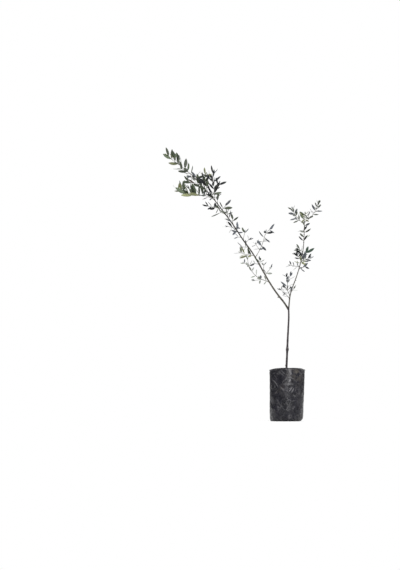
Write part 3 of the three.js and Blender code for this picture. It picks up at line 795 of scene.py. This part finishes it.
# How the leaves of one spray share out the tones
sprayTones = {
    "faint": ["silver", "silver", "silver", "slate"],
    "grey": ["slate", "silver", "deep"],
    "slate": ["slate", "night", "slate", "silver"],
    "dusk": ["slate", "night", "slate"],
    "deep": ["deep", "deep", "slate"],
    "green": ["green", "deep", "slate"],
    "fern": ["fern"],
    "night": ["night", "night", "deep"],
    "golden": ["olive", "deep", "olive"],
    "mossy": ["deep", "deep", "olive"],
    "fresh": ["green", "green", "deep", "olive"],
    "rust": ["rust", "deep", "green"],
}


def leafMaterial(name, tone, gloss, depth, shine):
    material, tree = newMaterial(name)
    place = objectPlace(tree)
    low, high = (shade(tone, strength) for strength in leafLook["blotch"])
    blotch = useGroup(tree, mottle, place, Scale=230.0, Contrast=0.7, Low=low, High=high)
    light = mapRange(tree, attribute(tree, "leafTone"), *leafLook["light"])
    color = addNode(tree, "HueSaturation", {"Color": blotch, "Value": light})
    rough = mapRange(tree, blotch.outputs["Mask"], *(gloss + more for more in leafLook["glossSpread"]))
    veins = useGroup(tree, grain, place, Coarse=900.0, Fine=3200.0, Share=0.45)
    closeMaterial(tree, color, rough, shine, veins, strength=0.35, depth=depth)
    return material


def bladeHalf(share, half):
    if share <= leafLook["stalk"]:
        return leafLook["stalkHalf"]
    opened = (share - leafLook["stalk"]) / (1 - leafLook["stalk"])
    spindle = (4 * opened * (1 - opened)) ** leafLook["spindle"]
    return max(leafLook["stalkHalf"] * (1 - opened), half * leafLook["fullness"] * spindle)


# One leaf: rings of nine points from its stalk to its pointed tip, with a rib strip along its upper side
def leafRings(blade, draw):
    top, under = np.array(leafLook["top"]), np.array(leafLook["under"])
    sickle = radians(swung(leafLook["sickle"], draw))
    twist = radians(swung(leafLook["twist"], draw))
    cup = between(leafLook["cup"], draw)
    centre = blade["centres"][0]
    facing = np.cross(blade["direction"], blade["across"])
    rings, before = [], 0
    for share in leafLook["stations"] + [1]:
        course = spun(blade["direction"], blade["across"], blade["bend"] * sqrt(share))
        course = spun(course, facing, sickle * (share - 0.5))
        centre = centre + course * (share - before) * blade["length"]
        before = share
        if share == 1:
            break
        across = unit(spun(blade["across"], course, twist * share))
        half = bladeHalf(share, blade["half"])
        isStalk = share <= leafLook["stalk"]
        sag = 0 if isStalk else cup * half
        thick = leafLook["stalkHalf"] if isStalk else leafLook["thickness"] / 2
        rib = 0 if isStalk else leafLook["rib"] * (1 - share)
        topHeight = thick * (1 - top * top) - sag * top * top
        underHeight = -thick * (1 - under * under) - sag * under * under - rib * (under == 0)
        reach = np.concatenate([top, under]) * half
        height = np.concatenate([topHeight, underHeight])
        rings.append(centre + np.outer(reach, across) + np.outer(height, np.cross(course, across)))
    return np.concatenate(rings + [centre[None]])


# The faces of one leaf, and which of its three finishes each has
def leafTemplate():
    stations, strips = leafLook["stations"], leafLook["strips"]
    sides = len(strips)
    faces, kinds = [], []
    for i, station in enumerate(stations):
        low, high = i * sides, (i + 1) * sides
        isLast = station == stations[-1]
        for j in range(sides):
            k = (j + 1) % sides
            faces.append((low + j, high, low + k) if isLast else (low + j, high + j, high + k, low + k))
        kinds += [2] * sides if station < leafLook["stalk"] else strips
    return faces + [tuple(range(sides))], kinds + [2]


def addLeaves():
    faces, kinds = leafTemplate()
    leaves = {tone: [] for tone in leafTones}
    for mass in masses:
        draw = seeded(leafLook["seed"] + mass["order"])
        tones = sprayTones[mass["tones"]]
        for blade in mass["blades"] + mass["youngBlades"]:
            tone = tones[int(draw() * len(tones))]
            leaves[tone].append({"points": leafRings(blade, draw), "light": draw(), "node": mass["name"]})
    for tone, heap in leaves.items():
        *colors, shine, slotName = leafTones[tone]
        materials = [leafMaterial(f"{tone}_leaf_{side}", color, *finish, shine)
                     for (side, *finish), color in zip(leafLook["finishes"], colors)]
        points = np.concatenate([entry["points"] for entry in heap])
        corners = len(heap[0]["points"])
        starts = range(0, len(points), corners)
        allFaces = [tuple(start + corner for corner in face) for start in starts for face in faces]
        addPiece(tone + "_leaves", points, allFaces, materials,
                 replaced=sorted({entry["node"] for entry in heap}), faceMaterials=kinds * len(heap),
                 attributes={"leafTone": np.repeat([entry["light"] for entry in heap], corners)})
        print(tone, "leaves:", len(heap))


addLeaves()


# Bark, which twigs, trunk, bough and leader all have, with streaks, leaf scars, lenticels and collars

barkLook = {
    "sides": 26, "step": 1.4,
    "relief": [(0.24, 0.55, 0.05, 0), (0.1, 1.5, 0.4, 50)],  # rise, scale across and along, and which noise
    "scarRing": (0.2, 0.7), "scarBump": (0.45, 0.9, 0.5), "collar": (0.9, 2.6, 0.8),  # rise, reach and width
    "scarEvery": 24, "scarSteps": (0.75, 1.25), "scarDrop": 0.8,
    "lenticelEvery": 5, "lenticelRise": 0.22, "lenticelSize": (0.35, 0.75), "lenticelSlim": 2.2,
    "settled": (0.30, 0.28, 0.24), "youngDark": 0.5, "shine": 0.3, "rough": (0.66, 0.86),
    "spots": {"scale": 330.0, "edge": (0.1, 0.24), "chosen": 0.62, "pale": 1.5, "rise": 0.5},
    "markReach": 3,  # how many times its reach a mark is worked out
}

# Dark and light tone, how drawn out the pattern is, how deep the furrows are, how dusty it is, and the
# distances along the limb between which young bark darkens, and by which share
barks = {
    "twig": ((0.036, 0.034, 0.027), (0.115, 0.110, 0.086), 0.3, 0.0002, 0.15, (0, 1, 0)),
    "trunk": ((0.009, 0.0072, 0.010), (0.048, 0.040, 0.044), 0.22, 0.0005, 0.3, (0, 1, 0)),
    "bough": ((0.025, 0.023, 0.019), (0.092, 0.086, 0.068), 0.25, 0.0004, 0.2, (230, 360, 0.8)),
    "leader": ((0.025, 0.023, 0.019), (0.092, 0.086, 0.068), 0.25, 0.0004, 0.2, (0, 1, 0)),
}


def barkMaterial(kind):
    low, high, streak, depth, dirt, (youngFrom, youngTo, darker) = barks[kind]
    material, tree = newMaterial(kind + "_bark")
    place = attribute(tree, "barkPlace", "Vector")
    spots = barkLook["spots"]
    drawn = addNode(tree, "VectorMath", {0: place, 1: (1, 1, streak)}, operation="MULTIPLY")
    blotch = useGroup(tree, mottle, drawn, Scale=520.0, Contrast=0.85, Low=shade(low), High=shade(high))
    cells = addNode(tree, "TexVoronoi", {"Vector": place, "Scale": spots["scale"]}).outputs
    spot = mapRange(tree, cells["Distance"], 1.0, 0.0, *spots["edge"])
    chance = addNode(tree, "SeparateColor", {0: cells["Color"]})
    some = compute(tree, "GREATER_THAN", chance, spots["chosen"])
    lenticel = compute(tree, "MULTIPLY", spot, some)
    spotted = mixColors(tree, lenticel, blotch, shade(high, spots["pale"]))
    settled = useGroup(tree, dust, place, Scale=90.0, Amount=dirt)
    dusty = mixColors(tree, settled, spotted, shade(barkLook["settled"]))
    along = addNode(tree, "SeparateXYZ", {0: place}).outputs["Z"]
    youth = mapRange(tree, along, 0.0, darker, youngFrom * mm, youngTo * mm)
    color = mixColors(tree, youth, dusty, shade(low, barkLook["youngDark"]))
    furrow = useGroup(tree, grain, drawn, Coarse=700.0, Fine=2400.0, Share=0.4)
    raised = compute(tree, "MULTIPLY_ADD", lenticel, spots["rise"], furrow)
    rough = mapRange(tree, blotch.outputs["Mask"], *barkLook["rough"])
    closeMaterial(tree, color, rough, barkLook["shine"], raised, strength=0.7, depth=depth)
    return material


# Twigs: round, a little swollen at every pair, and widened where they leave the limb

twigLook = {
    "sides": 9, "step": 2.2, "leastSteps": 3, "slim": 0.88, "nodeSwell": 0.26, "nodeReach": 1.5,
    "sunkShare": 0.8, "sunkTip": 3,  # how deep a stem starts inside its limb, and the one that carries it on
    "collar": 0.9, "collarAt": 0.5, "collarReach": 2.4,
    "tipLength": 2.4, "tip": [(0.5, 0.8), (1, 0.2)],
    "shift": 37,  # how far apart two twigs take their bark from the pattern
}


def twigTube(tube, sunk):
    route, length = tube["route"], tube["route"]["length"]
    angles = roundAngles(twigLook["sides"])
    points, places = [], []
    for distance in spacedOut(-sunk, length, twigLook["step"], twigLook["leastSteps"]):
        radius = tube["radiusAt"](max(distance, 0)) * twigLook["slim"]
        radius += sum(twigLook["nodeSwell"] * exp(-((distance - node) / twigLook["nodeReach"]) ** 2)
                      for node in tube["nodes"])
        if sunk:
            fromCollar = (distance + sunk * twigLook["collarAt"]) / twigLook["collarReach"]
            radius += twigLook["collar"] * exp(-fromCollar)
        points.append(ringAt(route, distance, radius, angles))
        places.append(straightened(angles, radius, distance))
    direction = directionOn(route, length)
    for advance, share in twigLook["tip"]:
        radius = tube["radiusAt"](length) * twigLook["slim"] * share
        centre = route["points"][-1] + direction * twigLook["tipLength"] * advance
        points.append(ringAround(centre, direction, radius, angles))
        places.append(straightened(angles, 1, length + advance))
    return np.concatenate(points), np.concatenate(places), len(points)


def addTwigs():
    points, places, faces, count = [], [], [], 0
    for mass in masses:
        stem = mass["twigs"][0]
        for tube in mass["twigs"] + mass["youngTwigs"]:
            sunk = (mass["sunk"] * twigLook["sunkShare"] or twigLook["sunkTip"]) if tube is stem else 0
            tubePoints, tubePlaces, rings = twigTube(tube, sunk)
            faces += tubeFaces(rings, twigLook["sides"], count)
            count += len(tubePoints)
            points.append(tubePoints)
            places.append(tubePlaces + np.array([0, 0, twigLook["shift"] * len(points)]))
    places = np.concatenate(places) * mm
    addPiece("twigs", np.concatenate(points), faces, [barkMaterial("twig")],
             replaced=[mass["name"] for mass in masses], attributes={"barkPlace": places})
    print("twigs:", len(points))


addTwigs()


# The trunk, the bough and the leader

def angleOf(route, distance, direction):
    side, front = frameOf(directionOn(route, distance))
    return atan2(-direction.dot(front), direction.dot(side))


def apart(angles, angle):
    return np.abs((angles - angle + pi) % (2 * pi) - pi)


# Where the small marks of one limb are: each has a distance, an angle, a rise and its reach along and round
def barkMarks(limb, seed):
    draw = seeded(seed)
    route = limb["route"]
    marks = []
    at = barkLook["scarEvery"] / 2
    while at < route["length"]:
        turn = 2 * pi * draw()
        marks.append((at, None, *barkLook["scarRing"], 0))
        marks += [(at - barkLook["scarDrop"], turn + side, *barkLook["scarBump"]) for side in (0, pi)]
        at += barkLook["scarEvery"] * between(barkLook["scarSteps"], draw)
    for _ in range(int(route["length"] / barkLook["lenticelEvery"])):
        size = between(barkLook["lenticelSize"], draw)
        at, angle = route["length"] * draw(), 2 * pi * draw()
        marks.append((at, angle, barkLook["lenticelRise"], size, size / barkLook["lenticelSlim"]))
    for mass in masses:
        if mass["limb"]["route"] is route and mass["sunk"]:
            marks.append((mass["at"], angleOf(route, mass["at"], mass["heading"]), *barkLook["collar"]))
    return sorted(marks, key=lambda mark: mark[0])


def barkRelief(angles, distance, radius, marks):
    relief = np.zeros(len(angles))
    for rise, across, along, shift in barkLook["relief"]:
        for i, angle in enumerate(angles):
            x, y = cos(angle) * radius, sin(angle) * radius
            relief[i] += rise * noise.noise((x * across, y * across, distance * along + shift))
    for at, angle, rise, reach, width in marks:
        if abs(distance - at) > barkLook["markReach"] * reach:
            continue
        bump = rise * exp(-((distance - at) / reach) ** 2)
        relief += bump if angle is None else bump * np.exp(-(apart(angles, angle) / width) ** 2)
    return relief


def barkTube(limb, start, marks):
    angles = roundAngles(barkLook["sides"])
    points, places = [], []
    for distance in spacedOut(start, limb["route"]["length"], barkLook["step"]):
        radius = limb["radiusAt"](distance)
        relief = barkRelief(angles, distance, radius, marks)
        points.append(ringAt(limb["route"], distance, radius + relief, angles))
        places.append(straightened(angles, radius, distance))
    return np.concatenate(points), np.concatenate(places), len(points)


# A dormant bud: a short stub that narrows to a round end. Its outline is how far along and how wide
budLook = {
    "sides": 12, "outline": [(0, 1.5), (0.35, 1.25), (0.6, 1), (0.8, 0.92), (0.95, 0.7), (1, 0.3)],
    "grain": 0.5,  # how much coarser its bark's pattern is
}


def budTube(limb, bud, start):
    path = straight(pointOn(limb["route"], bud["at"]), heading(bud["lean"], bud["depth"]), bud["length"])
    angles = roundAngles(budLook["sides"])
    rings = [ringAt(path, share * bud["length"], bud["radius"] * width, angles)
             for share, width in budLook["outline"]]
    return np.concatenate(rings), tubeFaces(len(rings), budLook["sides"], start)


def addLimb(name, limb, spec, bark, seed):
    points, places, rings = barkTube(limb, trunk["armLength"] - limbSunk, barkMarks(limb, seed))
    stub, stubFaces = budTube(limb, spec["bud"], len(points))
    faces = tubeFaces(rings, barkLook["sides"]) + stubFaces
    places = np.concatenate([places, stub * budLook["grain"]]) * mm
    addPiece(name + "_bark", np.concatenate([points, stub]), faces, [barkMaterial(bark)],
             replaced=[name], attributes={"barkPlace": places})


trunkLook = {
    "sides": 20, "step": 2, "sunk": 4, "armSunk": 2, "voxel": 0.62, "smoothing": 4,
    "relief": 1.5, "calmEnd": 10, "calmOver": 12,  # it fades out this far past the fork, over this length
    "seed": 11,
}
limbSunk = 5  # how far the bough and the leader start inside the trunk's arms


def readVectors(vertices, key):
    values = np.zeros(len(vertices) * 3)
    vertices.foreach_get(key, values)
    return values.reshape(-1, 3)


def fuse(points, faces):
    work = bpy.data.meshes.new("trunk_work")
    work.from_pydata((points * mm).tolist(), [], faces)
    blank = addObject("trunk_work", work)
    remesh = blank.modifiers.new("fuse", "REMESH")
    remesh.mode = "VOXEL"
    remesh.voxel_size = trunkLook["voxel"] * mm
    blank.modifiers.new("soften", "SMOOTH").iterations = trunkLook["smoothing"]
    bpy.context.view_layer.update()
    fused = bpy.data.meshes.new_from_object(blank.evaluated_get(bpy.context.evaluated_depsgraph_get()))
    bpy.data.objects.remove(blank)
    return fused


# The trunk and its fork's two arms are remeshed to one skin with a soft crotch, then get their relief
def addTrunk():
    angles = roundAngles(trunkLook["sides"])
    spans = [(limbs[0], -trunkLook["sunk"], trunk["length"])]
    spans += [(limb, -trunkLook["armSunk"], trunk["armLength"]) for limb in limbs[1:]]
    points, faces = [], []
    for limb, start, end in spans:
        distances = spacedOut(start, end, trunkLook["step"])
        faces += tubeFaces(len(distances), len(angles), len(points) * len(angles))
        points += [ringAt(limb["route"], at, limb["radiusAt"](max(at, 0)), angles) for at in distances]
    stub, stubFaces = budTube(limbs[0], trunk["bud"], len(points) * len(angles))
    fused = fuse(np.concatenate(points + [stub]), faces + stubFaces)
    shaped = readVectors(fused.vertices, "co") / mm
    normals = readVectors(fused.vertices, "normal")
    marks = barkMarks(limbs[0], trunkLook["seed"])
    places = np.zeros_like(shaped)
    for i, point in enumerate(shaped):
        nearest = int(((trunkRoute["points"] - point) ** 2).sum(1).argmin())
        offset = point - trunkRoute["points"][nearest]
        distance = nearest * trunkRoute["stride"]
        distance += offset.dot(directionOn(trunkRoute, distance))
        angle = angleOf(trunkRoute, distance, offset)
        radius = trunkRadius(max(distance, 0))
        calm = (trunk["length"] + trunkLook["calmEnd"] - distance) / trunkLook["calmOver"]
        strength = trunkLook["relief"] * min(max(calm, 0), 1)
        shaped[i] += normals[i] * strength * barkRelief(np.array([angle]), distance, radius, marks)[0]
        places[i] = (cos(angle) * radius, sin(angle) * radius, distance)
    skin = [tuple(polygon.vertices) for polygon in fused.polygons]
    bpy.data.meshes.remove(fused)
    addPiece("trunk_bark", shaped, skin, [barkMaterial("trunk")], replaced=["trunk"],
             attributes={"barkPlace": places * mm})
    print("trunk skin:", len(skin), "faces")


addTrunk()
addLimb("left_bough", limbs[1], leftBough, "bough", seed=21)
addLimb("right_leader", limbs[2], rightLeader, "leader", seed=31)
print("limbs barked")


# The bag: a black film shell with pressed creases, folds under its rim and a tucked foot. Its creases, dent
# ridges and round spot are painted pale: painted highlights

bagLook = {
    "sides": 400, "levels": 150, "film": 0.8,
    "collarLevels": 24, "collar": 30,  # the inside of the film is worked out this far down from the rim
    "innerDrop": 5, "innerShares": (0.7, 0.4, 0.1, 0.02),  # below that it keeps well inside
    "footShares": (0.15, 0.5, 0.8, 0.94),  # rings of the underside
    "rimArch": 2.6, "rimWaves": [(0.3, 4, 4.4), (-0.2, 11, 0)],  # height, how many round the rim, and turn
    "rimFlare": 1.6, "flareReach": 5, "cornerDrop": 3.0, "cornerPower": 6,
    "hemDepth": 1.5, "hemPlace": 5, "hemWidth": 1.8,
    "dents": [(38, 2.3, 0.5, 0), (15, 0.8, 0.35, 9)],  # spacing, depth, warp and which noise they take
    "warpSeed": 1,
    "folds": 5, "foldTurn": 0.9, "foldRise": 0.9, "foldReach": 55, "foldPower": 3,  # hanging from the rim
    "footLift": 2.4, "footReach": 16, "footPower": 4,  # it curls up at the front and back, between corners
    "footCalm": 10,  # below this height the crumpling dies out
    "bulge": 0.9,  # how far the full film stands out over the solid
    # the round spot: a raised dot, and its pale share is a painted highlight on it
    "spot": {"turn": 2, "height": 157, "radius": 7.5, "rise": 1.1, "pale": 0.75, "edge": 4},
    "low": (0.0030, 0.0030, 0.0060), "high": (0.0085, 0.0080, 0.0135), "dust": (0.105, 0.092, 0.072),
    "highlightColour": (0.400, 0.392, 0.405),  # painted highlight: the pale colour that creases, ridges and the round spot are painted towards
    "shine": 0.32, "rough": (0.2, 0.36), "dustRough": 0.35, "soiled": 0.15,
}

# Creases on the front: width, rise, how strong the painted highlight along it is, and a line of places
# (degrees round to the right, height)
frontCreases = [
    (6.0, 0.9, 0.42, [(3, 209), (5, 186), (4, 162)]),
    (1.2, 0.8, 0.42,
     [(-22, 142), (-19, 154), (-12, 162), (-3, 168), (8, 170), (17, 165), (25, 155), (32, 147)]),
    (4.0, 0.3, 0.34, [(-21, 143), (3, 146), (22, 143)]),
    (1.5, 1.0, 0.40, [(-68, 169), (-53, 158), (-42, 146), (-34, 128)]),
    (1.3, 0.8, 0.34, [(-28, 204), (-17, 189), (-6, 177)]),
    (1.3, 0.6, 0.26, [(-33, 195), (-20, 182), (-9, 168)]),
    (1.2, 0.7, 0.26, [(-51, 181), (-38, 164)]),
    (1.2, 0.6, 0.24, [(-63, 186), (-45, 190)]),
    (1.8, 1.0, 1.50, [(10, 112), (14, 120), (18, 129)]),
    (1.4, 0.8, 0.60, [(1, 114), (9, 127), (15, 137)]),
    (1.2, 0.8, 0.34, [(23, 118), (27, 136)]),
    (1.2, 0.8, 0.30, [(31, 120), (38, 140)]),
    (1.2, 0.8, 0.28, [(-29, 137), (-15, 123), (0, 113)]),
    (1.2, 0.7, 0.26, [(-35, 143), (-20, 125), (-10, 109)]),
    (1.5, 0.8, 0.42, [(37, 206), (41, 188), (40, 176)]),
    (1.5, 0.8, 0.36, [(51, 205), (49, 186)]),
    (1.3, 0.8, 0.28, [(-11, 92), (12, 78), (31, 84)]),
    (1.3, 0.8, 0.28, [(-43, 92), (-31, 68), (-15, 54)]),
]

# Soil dust stuck to the film: degrees round, height, spread in mm and amount
filmDust = [
    (34, 188, 28, 1.8), (-24, 118, 24, 0.5), (150, 170, 34, 0.9), (235, 60, 40, 0.8), (60, 20, 30, 0.7),
]

creaseLook = {"ends": (0.03, 0.97), "fade": 0.7, "onBulge": 0.5}  # a crease is lower where the film bulges

dentLook = {
    "squash": 0.8, "warpScale": 1.3, "level": 0.45,  # a dent's edge is this far from its middle
    # the ridges between dents get a painted highlight of this strength
    "ridgeWidth": 1.2, "ridgeHighlight": 0.3,
    "ridgeLeast": 0.1, "ridgeGain": 1.6, "ridgeScale": 0.9, "ridgeShift": 7,  # how ridges come and go
}


def wallRadius(angles, height):
    swell = (height / bag["height"]) ** bag["swellPower"]
    wave = np.sin(bag["pleats"] * angles + 2 * pi * bag["pleatTwist"] * height / bag["height"])
    full = bag["footRadius"] + (bag["radius"] - bag["footRadius"]) * swell + bag["pleatDepth"] * wave * swell
    corner = bag["corner"] + bag["rightCorner"] * np.maximum(0, np.cos(angles))
    below = np.maximum(0, corner - height)
    return full - corner + np.sqrt(corner * corner - below * below)


def rimHeight(angles):
    waves = sum(rise * np.sin(count * angles + turn) for rise, count, turn in bagLook["rimWaves"])
    drop = bagLook["cornerDrop"] * np.cos(angles) ** bagLook["cornerPower"]
    return bag["height"] + bagLook["rimArch"] * np.sin(angles) ** 2 + waves - drop


# Distance in mm over the film from a place on it, given as degrees round from the front and a height
def filmOffset(angles, heights, turn, height):
    across = (np.degrees(angles) + 90 - turn + 180) % 360 - 180
    return np.radians(across) * bag["radius"], heights - height


def filmGap(angles, heights, turn, height):
    return np.hypot(*filmOffset(angles, heights, turn, height))


# Dents with sharp ridges between them, as film has that was filled and knocked about
def dents(angles, heights, spacing, depth, warp, shift):
    radius = bag["radius"]
    rise = np.zeros_like(angles)
    ridge = np.zeros_like(angles)
    for i, (angle, height) in enumerate(zip(angles, heights)):
        place = Vector((radius * cos(angle), radius * sin(angle), dentLook["squash"] * height)) / spacing
        place += noise.noise_vector(place * dentLook["warpScale"]) * warp + Vector((0, 0, shift))
        near, nextNear = noise.voronoi(place)[0][:2]
        rise[i] = depth * (near - dentLook["level"])
        patch = noise.noise(place * dentLook["ridgeScale"] + Vector((dentLook["ridgeShift"], 0, 0)))
        ridge[i] = exp(-((nextNear - near) * spacing / dentLook["ridgeWidth"]) ** 2)
        ridge[i] *= max(0, min(1, dentLook["ridgeLeast"] + dentLook["ridgeGain"] * patch))
    return rise, ridge


# A crease is a thin ridge that fades out at both ends, with a painted highlight along it
def pressCrease(angles, heights, rise, pale, crease):
    width, lift, highlightLevel, line = crease
    runs = [(radians(b[0] - a[0]) * bag["radius"], b[1] - a[1]) for a, b in zip(line, line[1:])]
    lengths = [hypot(*run) for run in runs]
    done = 0
    for start, (runAcross, runUp), length in zip(line, runs, lengths):
        across, up = filmOffset(angles, heights, *start)
        share = np.clip((across * runAcross + up * runUp) / length ** 2, 0, 1)
        off = np.hypot(across - share * runAcross, up - share * runUp)
        along = np.clip((done + share * length) / sum(lengths), *creaseLook["ends"])
        strength = np.exp(-(off / width) ** 2) * np.sin(pi * along) ** creaseLook["fade"]
        # the painted highlight along the crease
        np.maximum(pale, highlightLevel * strength, out=pale)
        raised = lift * strength * (1 - np.clip(rise, 0, 1) * creaseLook["onBulge"])
        np.maximum(rise, rise + raised, out=rise)
        done += length


# How far the film stands out over its soft shape, and how strong the painted highlight is there
def crumple(angles, heights):
    rise = np.full_like(angles, bagLook["bulge"])
    pale = np.zeros_like(angles)
    for spacing, depth, warp, shift in bagLook["dents"]:
        dent, ridge = dents(angles, heights, spacing, depth, warp, shift)
        rise += dent
        pale = np.maximum(pale, dentLook["ridgeHighlight"] * ridge)
    for crease in frontCreases:
        pressCrease(angles, heights, rise, pale, crease)
    below = rimHeight(angles) - heights
    hang = np.exp(-below / bagLook["foldReach"])
    folds = np.sin(bagLook["folds"] * angles + bagLook["foldTurn"]) ** bagLook["foldPower"]
    rise += bagLook["foldRise"] * hang * folds
    spot = bagLook["spot"]
    away = filmGap(angles, heights, spot["turn"], spot["height"]) / spot["radius"]
    blob = np.exp(-away ** spot["edge"])
    rise += spot["rise"] * blob
    rise *= np.clip(heights / bagLook["footCalm"], 0, 1)
    rise -= bagLook["hemDepth"] * np.exp(-((below - bagLook["hemPlace"]) / bagLook["hemWidth"]) ** 2)
    rise += bagLook["rimFlare"] * np.exp(-below / bagLook["flareReach"])
    return rise, np.maximum(pale, spot["pale"] * blob)


def bagMiddle(height):
    return bag["lean"] * height / bag["height"]


def filmRing(angles, heights, inset):
    rise, pale = crumple(angles, heights)
    radii = wallRadius(angles, np.minimum(heights, bag["height"])) + rise - inset
    curl = bagLook["footLift"] * np.sin(angles) ** bagLook["footPower"]
    lift = curl * np.exp(-heights / bagLook["footReach"])
    x, y = bagMiddle(heights) + radii * np.cos(angles), radii * np.sin(angles)
    return np.column_stack([x, y, heights + lift]), pale


def filmMaterial():
    material, tree = newMaterial("black_film")
    place = objectPlace(tree)
    low, high = shade(bagLook["low"]), shade(bagLook["high"])
    blotch = useGroup(tree, mottle, place, Scale=34.0, Contrast=0.8, Low=low, High=high)
    settled = useGroup(tree, dust, place, Scale=48.0, Amount=1.3)
    dustShare = compute(tree, "MULTIPLY", settled, attribute(tree, "soiled"), clamp=True)
    dusty = mixColors(tree, dustShare, blotch, shade(bagLook["dust"]))
    broken = useGroup(tree, mottle, place, Scale=75.0, Contrast=0.7).outputs["Mask"]
    # Painted highlight: the film is painted pale along its creases, ridges and round spot, broken up by a
    # mottle
    share = compute(tree, "MULTIPLY", attribute(tree, "highlightShare"), broken, clamp=True)
    color = mixColors(tree, share, dusty, shade(bagLook["highlightColour"]))
    scuffs = useGroup(tree, mottle, place, Scale=140.0, Contrast=1.0).outputs["Mask"]
    gloss = mapRange(tree, scuffs, *bagLook["rough"])
    rough = compute(tree, "MULTIPLY_ADD", dustShare, bagLook["dustRough"], gloss, clamp=True)
    wrinkles = useGroup(tree, grain, place, Coarse=170.0, Fine=620.0, Share=0.3)
    closeMaterial(tree, color, rough, bagLook["shine"], wrinkles, strength=0.3, depth=0.0009)
    return material


def addBag():
    sides, levels, collarLevels = bagLook["sides"], bagLook["levels"], bagLook["collarLevels"]
    angles = roundAngles(sides)
    rim = rimHeight(angles)
    outside = [filmRing(angles, rim * i / levels, 0) for i in range(levels + 1)]
    foot = outside[0][0]
    foot[:, 2] = 0
    underside = [(foot * np.array([share, share, 1]), np.zeros(sides)) for share in bagLook["footShares"]]
    drop = bagLook["collar"] / collarLevels
    inside = [filmRing(angles, rim - drop * i, bagLook["film"]) for i in range(collarLevels + 1)]
    inside += [filmRing(angles, rim * share, bagLook["innerDrop"]) for share in bagLook["innerShares"]]
    rings = underside + outside + inside
    points = np.concatenate([ring for ring, pale in rings])
    highlightShare = np.concatenate([pale for ring, pale in rings])
    turned = np.arctan2(points[:, 1], points[:, 0])
    soiled = np.full(len(points), bagLook["soiled"])
    for turn, height, spread, amount in filmDust:
        soiled += amount * np.exp(-(filmGap(turned, points[:, 2], turn, height) / spread) ** 2)
    addPiece("bag_film", points, flipped(tubeFaces(len(rings), sides)), [filmMaterial()],
             replaced=["nursery_bag"], attributes={"highlightShare": highlightShare, "soiled": soiled})
    print("bag made")


noise.seed_set(bagLook["warpSeed"])  # without a seed of its own, noise_vector differs from run to run
addBag()


# The soil: a rough crumbly top round the trunk, with loose crumbs on it

soilLook = {
    "sides": 96, "rings": 34, "inset": 1.2, "sideInset": 5.5, "sideLevels": (3, 20, 60, 120), "shoulder": 6,
    "edgeDrop": 3.2, "edgePower": 3,
    "lumps": [(1.5, 9, 0), (0.75, 3.5, 4)],  # height, size and which noise
    "calm": 4,  # round the trunk they start low, and are full at 1 / calm of the way to the film
    "low": (0.024, 0.015, 0.010), "high": (0.085, 0.056, 0.036), "shine": 0.2, "rough": (0.86, 1.0),
}

crumbLook = {
    "count": 620, "sizes": (0.9, 3.4), "sizePower": 3, "reach": 0.96, "lift": 0.15, "seed": 5,
    "stretch": [(0.7, 1.3), (0.7, 1.3), (0.5, 0.9)], "lumpy": 0.45, "lumpScale": 1.3,
    "low": (0.035, 0.023, 0.015), "high": (0.15, 0.105, 0.07),
}


def soilMaterial(name, look, scale):
    material, tree = newMaterial(name)
    place = objectPlace(tree)
    low, high = shade(look["low"]), shade(look["high"])
    blotch = useGroup(tree, mottle, place, Scale=scale, Contrast=1.0, Low=low, High=high)
    lumps = useGroup(tree, grain, place, Coarse=380.0, Fine=1500.0, Share=0.5)
    rough = mapRange(tree, blotch.outputs["Mask"], *soilLook["rough"])
    closeMaterial(tree, blotch, rough, soilLook["shine"], lumps, strength=0.9, depth=0.0012)
    return material


def soilSurface(x, y, share):
    lumps = sum(rise * noise.noise((x / size, y / size, shift)) for rise, size, shift in soilLook["lumps"])
    drop = soilLook["edgeDrop"] * share ** soilLook["edgePower"]
    return soilTop - drop + lumps * min(1, share * soilLook["calm"])


def soilReach(angles):
    return wallRadius(angles, soilTop) + crumple(angles, angles * 0 + soilTop)[0] - soilLook["inset"]


def soilPoint(angle, radius, share):
    x, y = bagMiddle(soilTop) + radius * cos(angle), radius * sin(angle)
    return np.array([x, y, soilSurface(x, y, share)])


def addSoil():
    sides, count = soilLook["sides"], soilLook["rings"]
    angles = roundAngles(sides)
    points = []
    for height in (*soilLook["sideLevels"], soilTop - soilLook["shoulder"]):
        radii = wallRadius(angles, height) - soilLook["sideInset"]
        points += [(bagMiddle(height) + r * cos(a), r * sin(a), height) for r, a in zip(radii, angles)]
    reach = soilReach(angles)
    for i in range(count):
        share = 1 - i / count
        points += [soilPoint(angle, radius, share) for angle, radius in zip(angles, reach * share)]
    earth = soilMaterial("soil_earth", soilLook, 210.0)
    faces = flipped(tubeFaces(len(points) // sides, sides))
    addPiece("soil_body", points, faces, [earth], replaced=["soil"])


def addCrumbs():
    work = bmesh.new()
    bmesh.ops.create_icosphere(work, subdivisions=1, radius=1)
    ball = np.array([vertex.co for vertex in work.verts])
    ballFaces = [tuple(vertex.index for vertex in face.verts) for face in work.faces]
    work.free()
    draw = seeded(crumbLook["seed"])
    small, large = crumbLook["sizes"]
    points, faces = [], []
    for index in range(crumbLook["count"]):
        angle, share = 2 * pi * draw(), sqrt(draw()) * crumbLook["reach"]
        place = soilPoint(angle, float(soilReach(np.array([angle]))[0]) * share, share)
        size = small + (large - small) * draw() ** crumbLook["sizePower"]
        stretch = np.array([between(ends, draw) for ends in crumbLook["stretch"]]) * size
        bumps = np.array([noise.noise(tuple(corner * crumbLook["lumpScale"] + index)) for corner in ball])
        x, y, z = (ball * (1 + crumbLook["lumpy"] * bumps)[:, None] * stretch).T
        turn = 2 * pi * draw()
        cosine, sine = cos(turn), sin(turn)
        lifted = z + crumbLook["lift"] * size
        faces += [tuple(len(points) * len(ball) + corner for corner in face) for face in ballFaces]
        points.append(np.column_stack([x * cosine - y * sine, x * sine + y * cosine, lifted]) + place)
    clods = soilMaterial("soil_crumbs", crumbLook, 260.0)
    addPiece("soil_crumbs", np.concatenate(points), faces, [clods], replaced=["soil"])
    print("soil made")


addSoil()
addCrumbs()
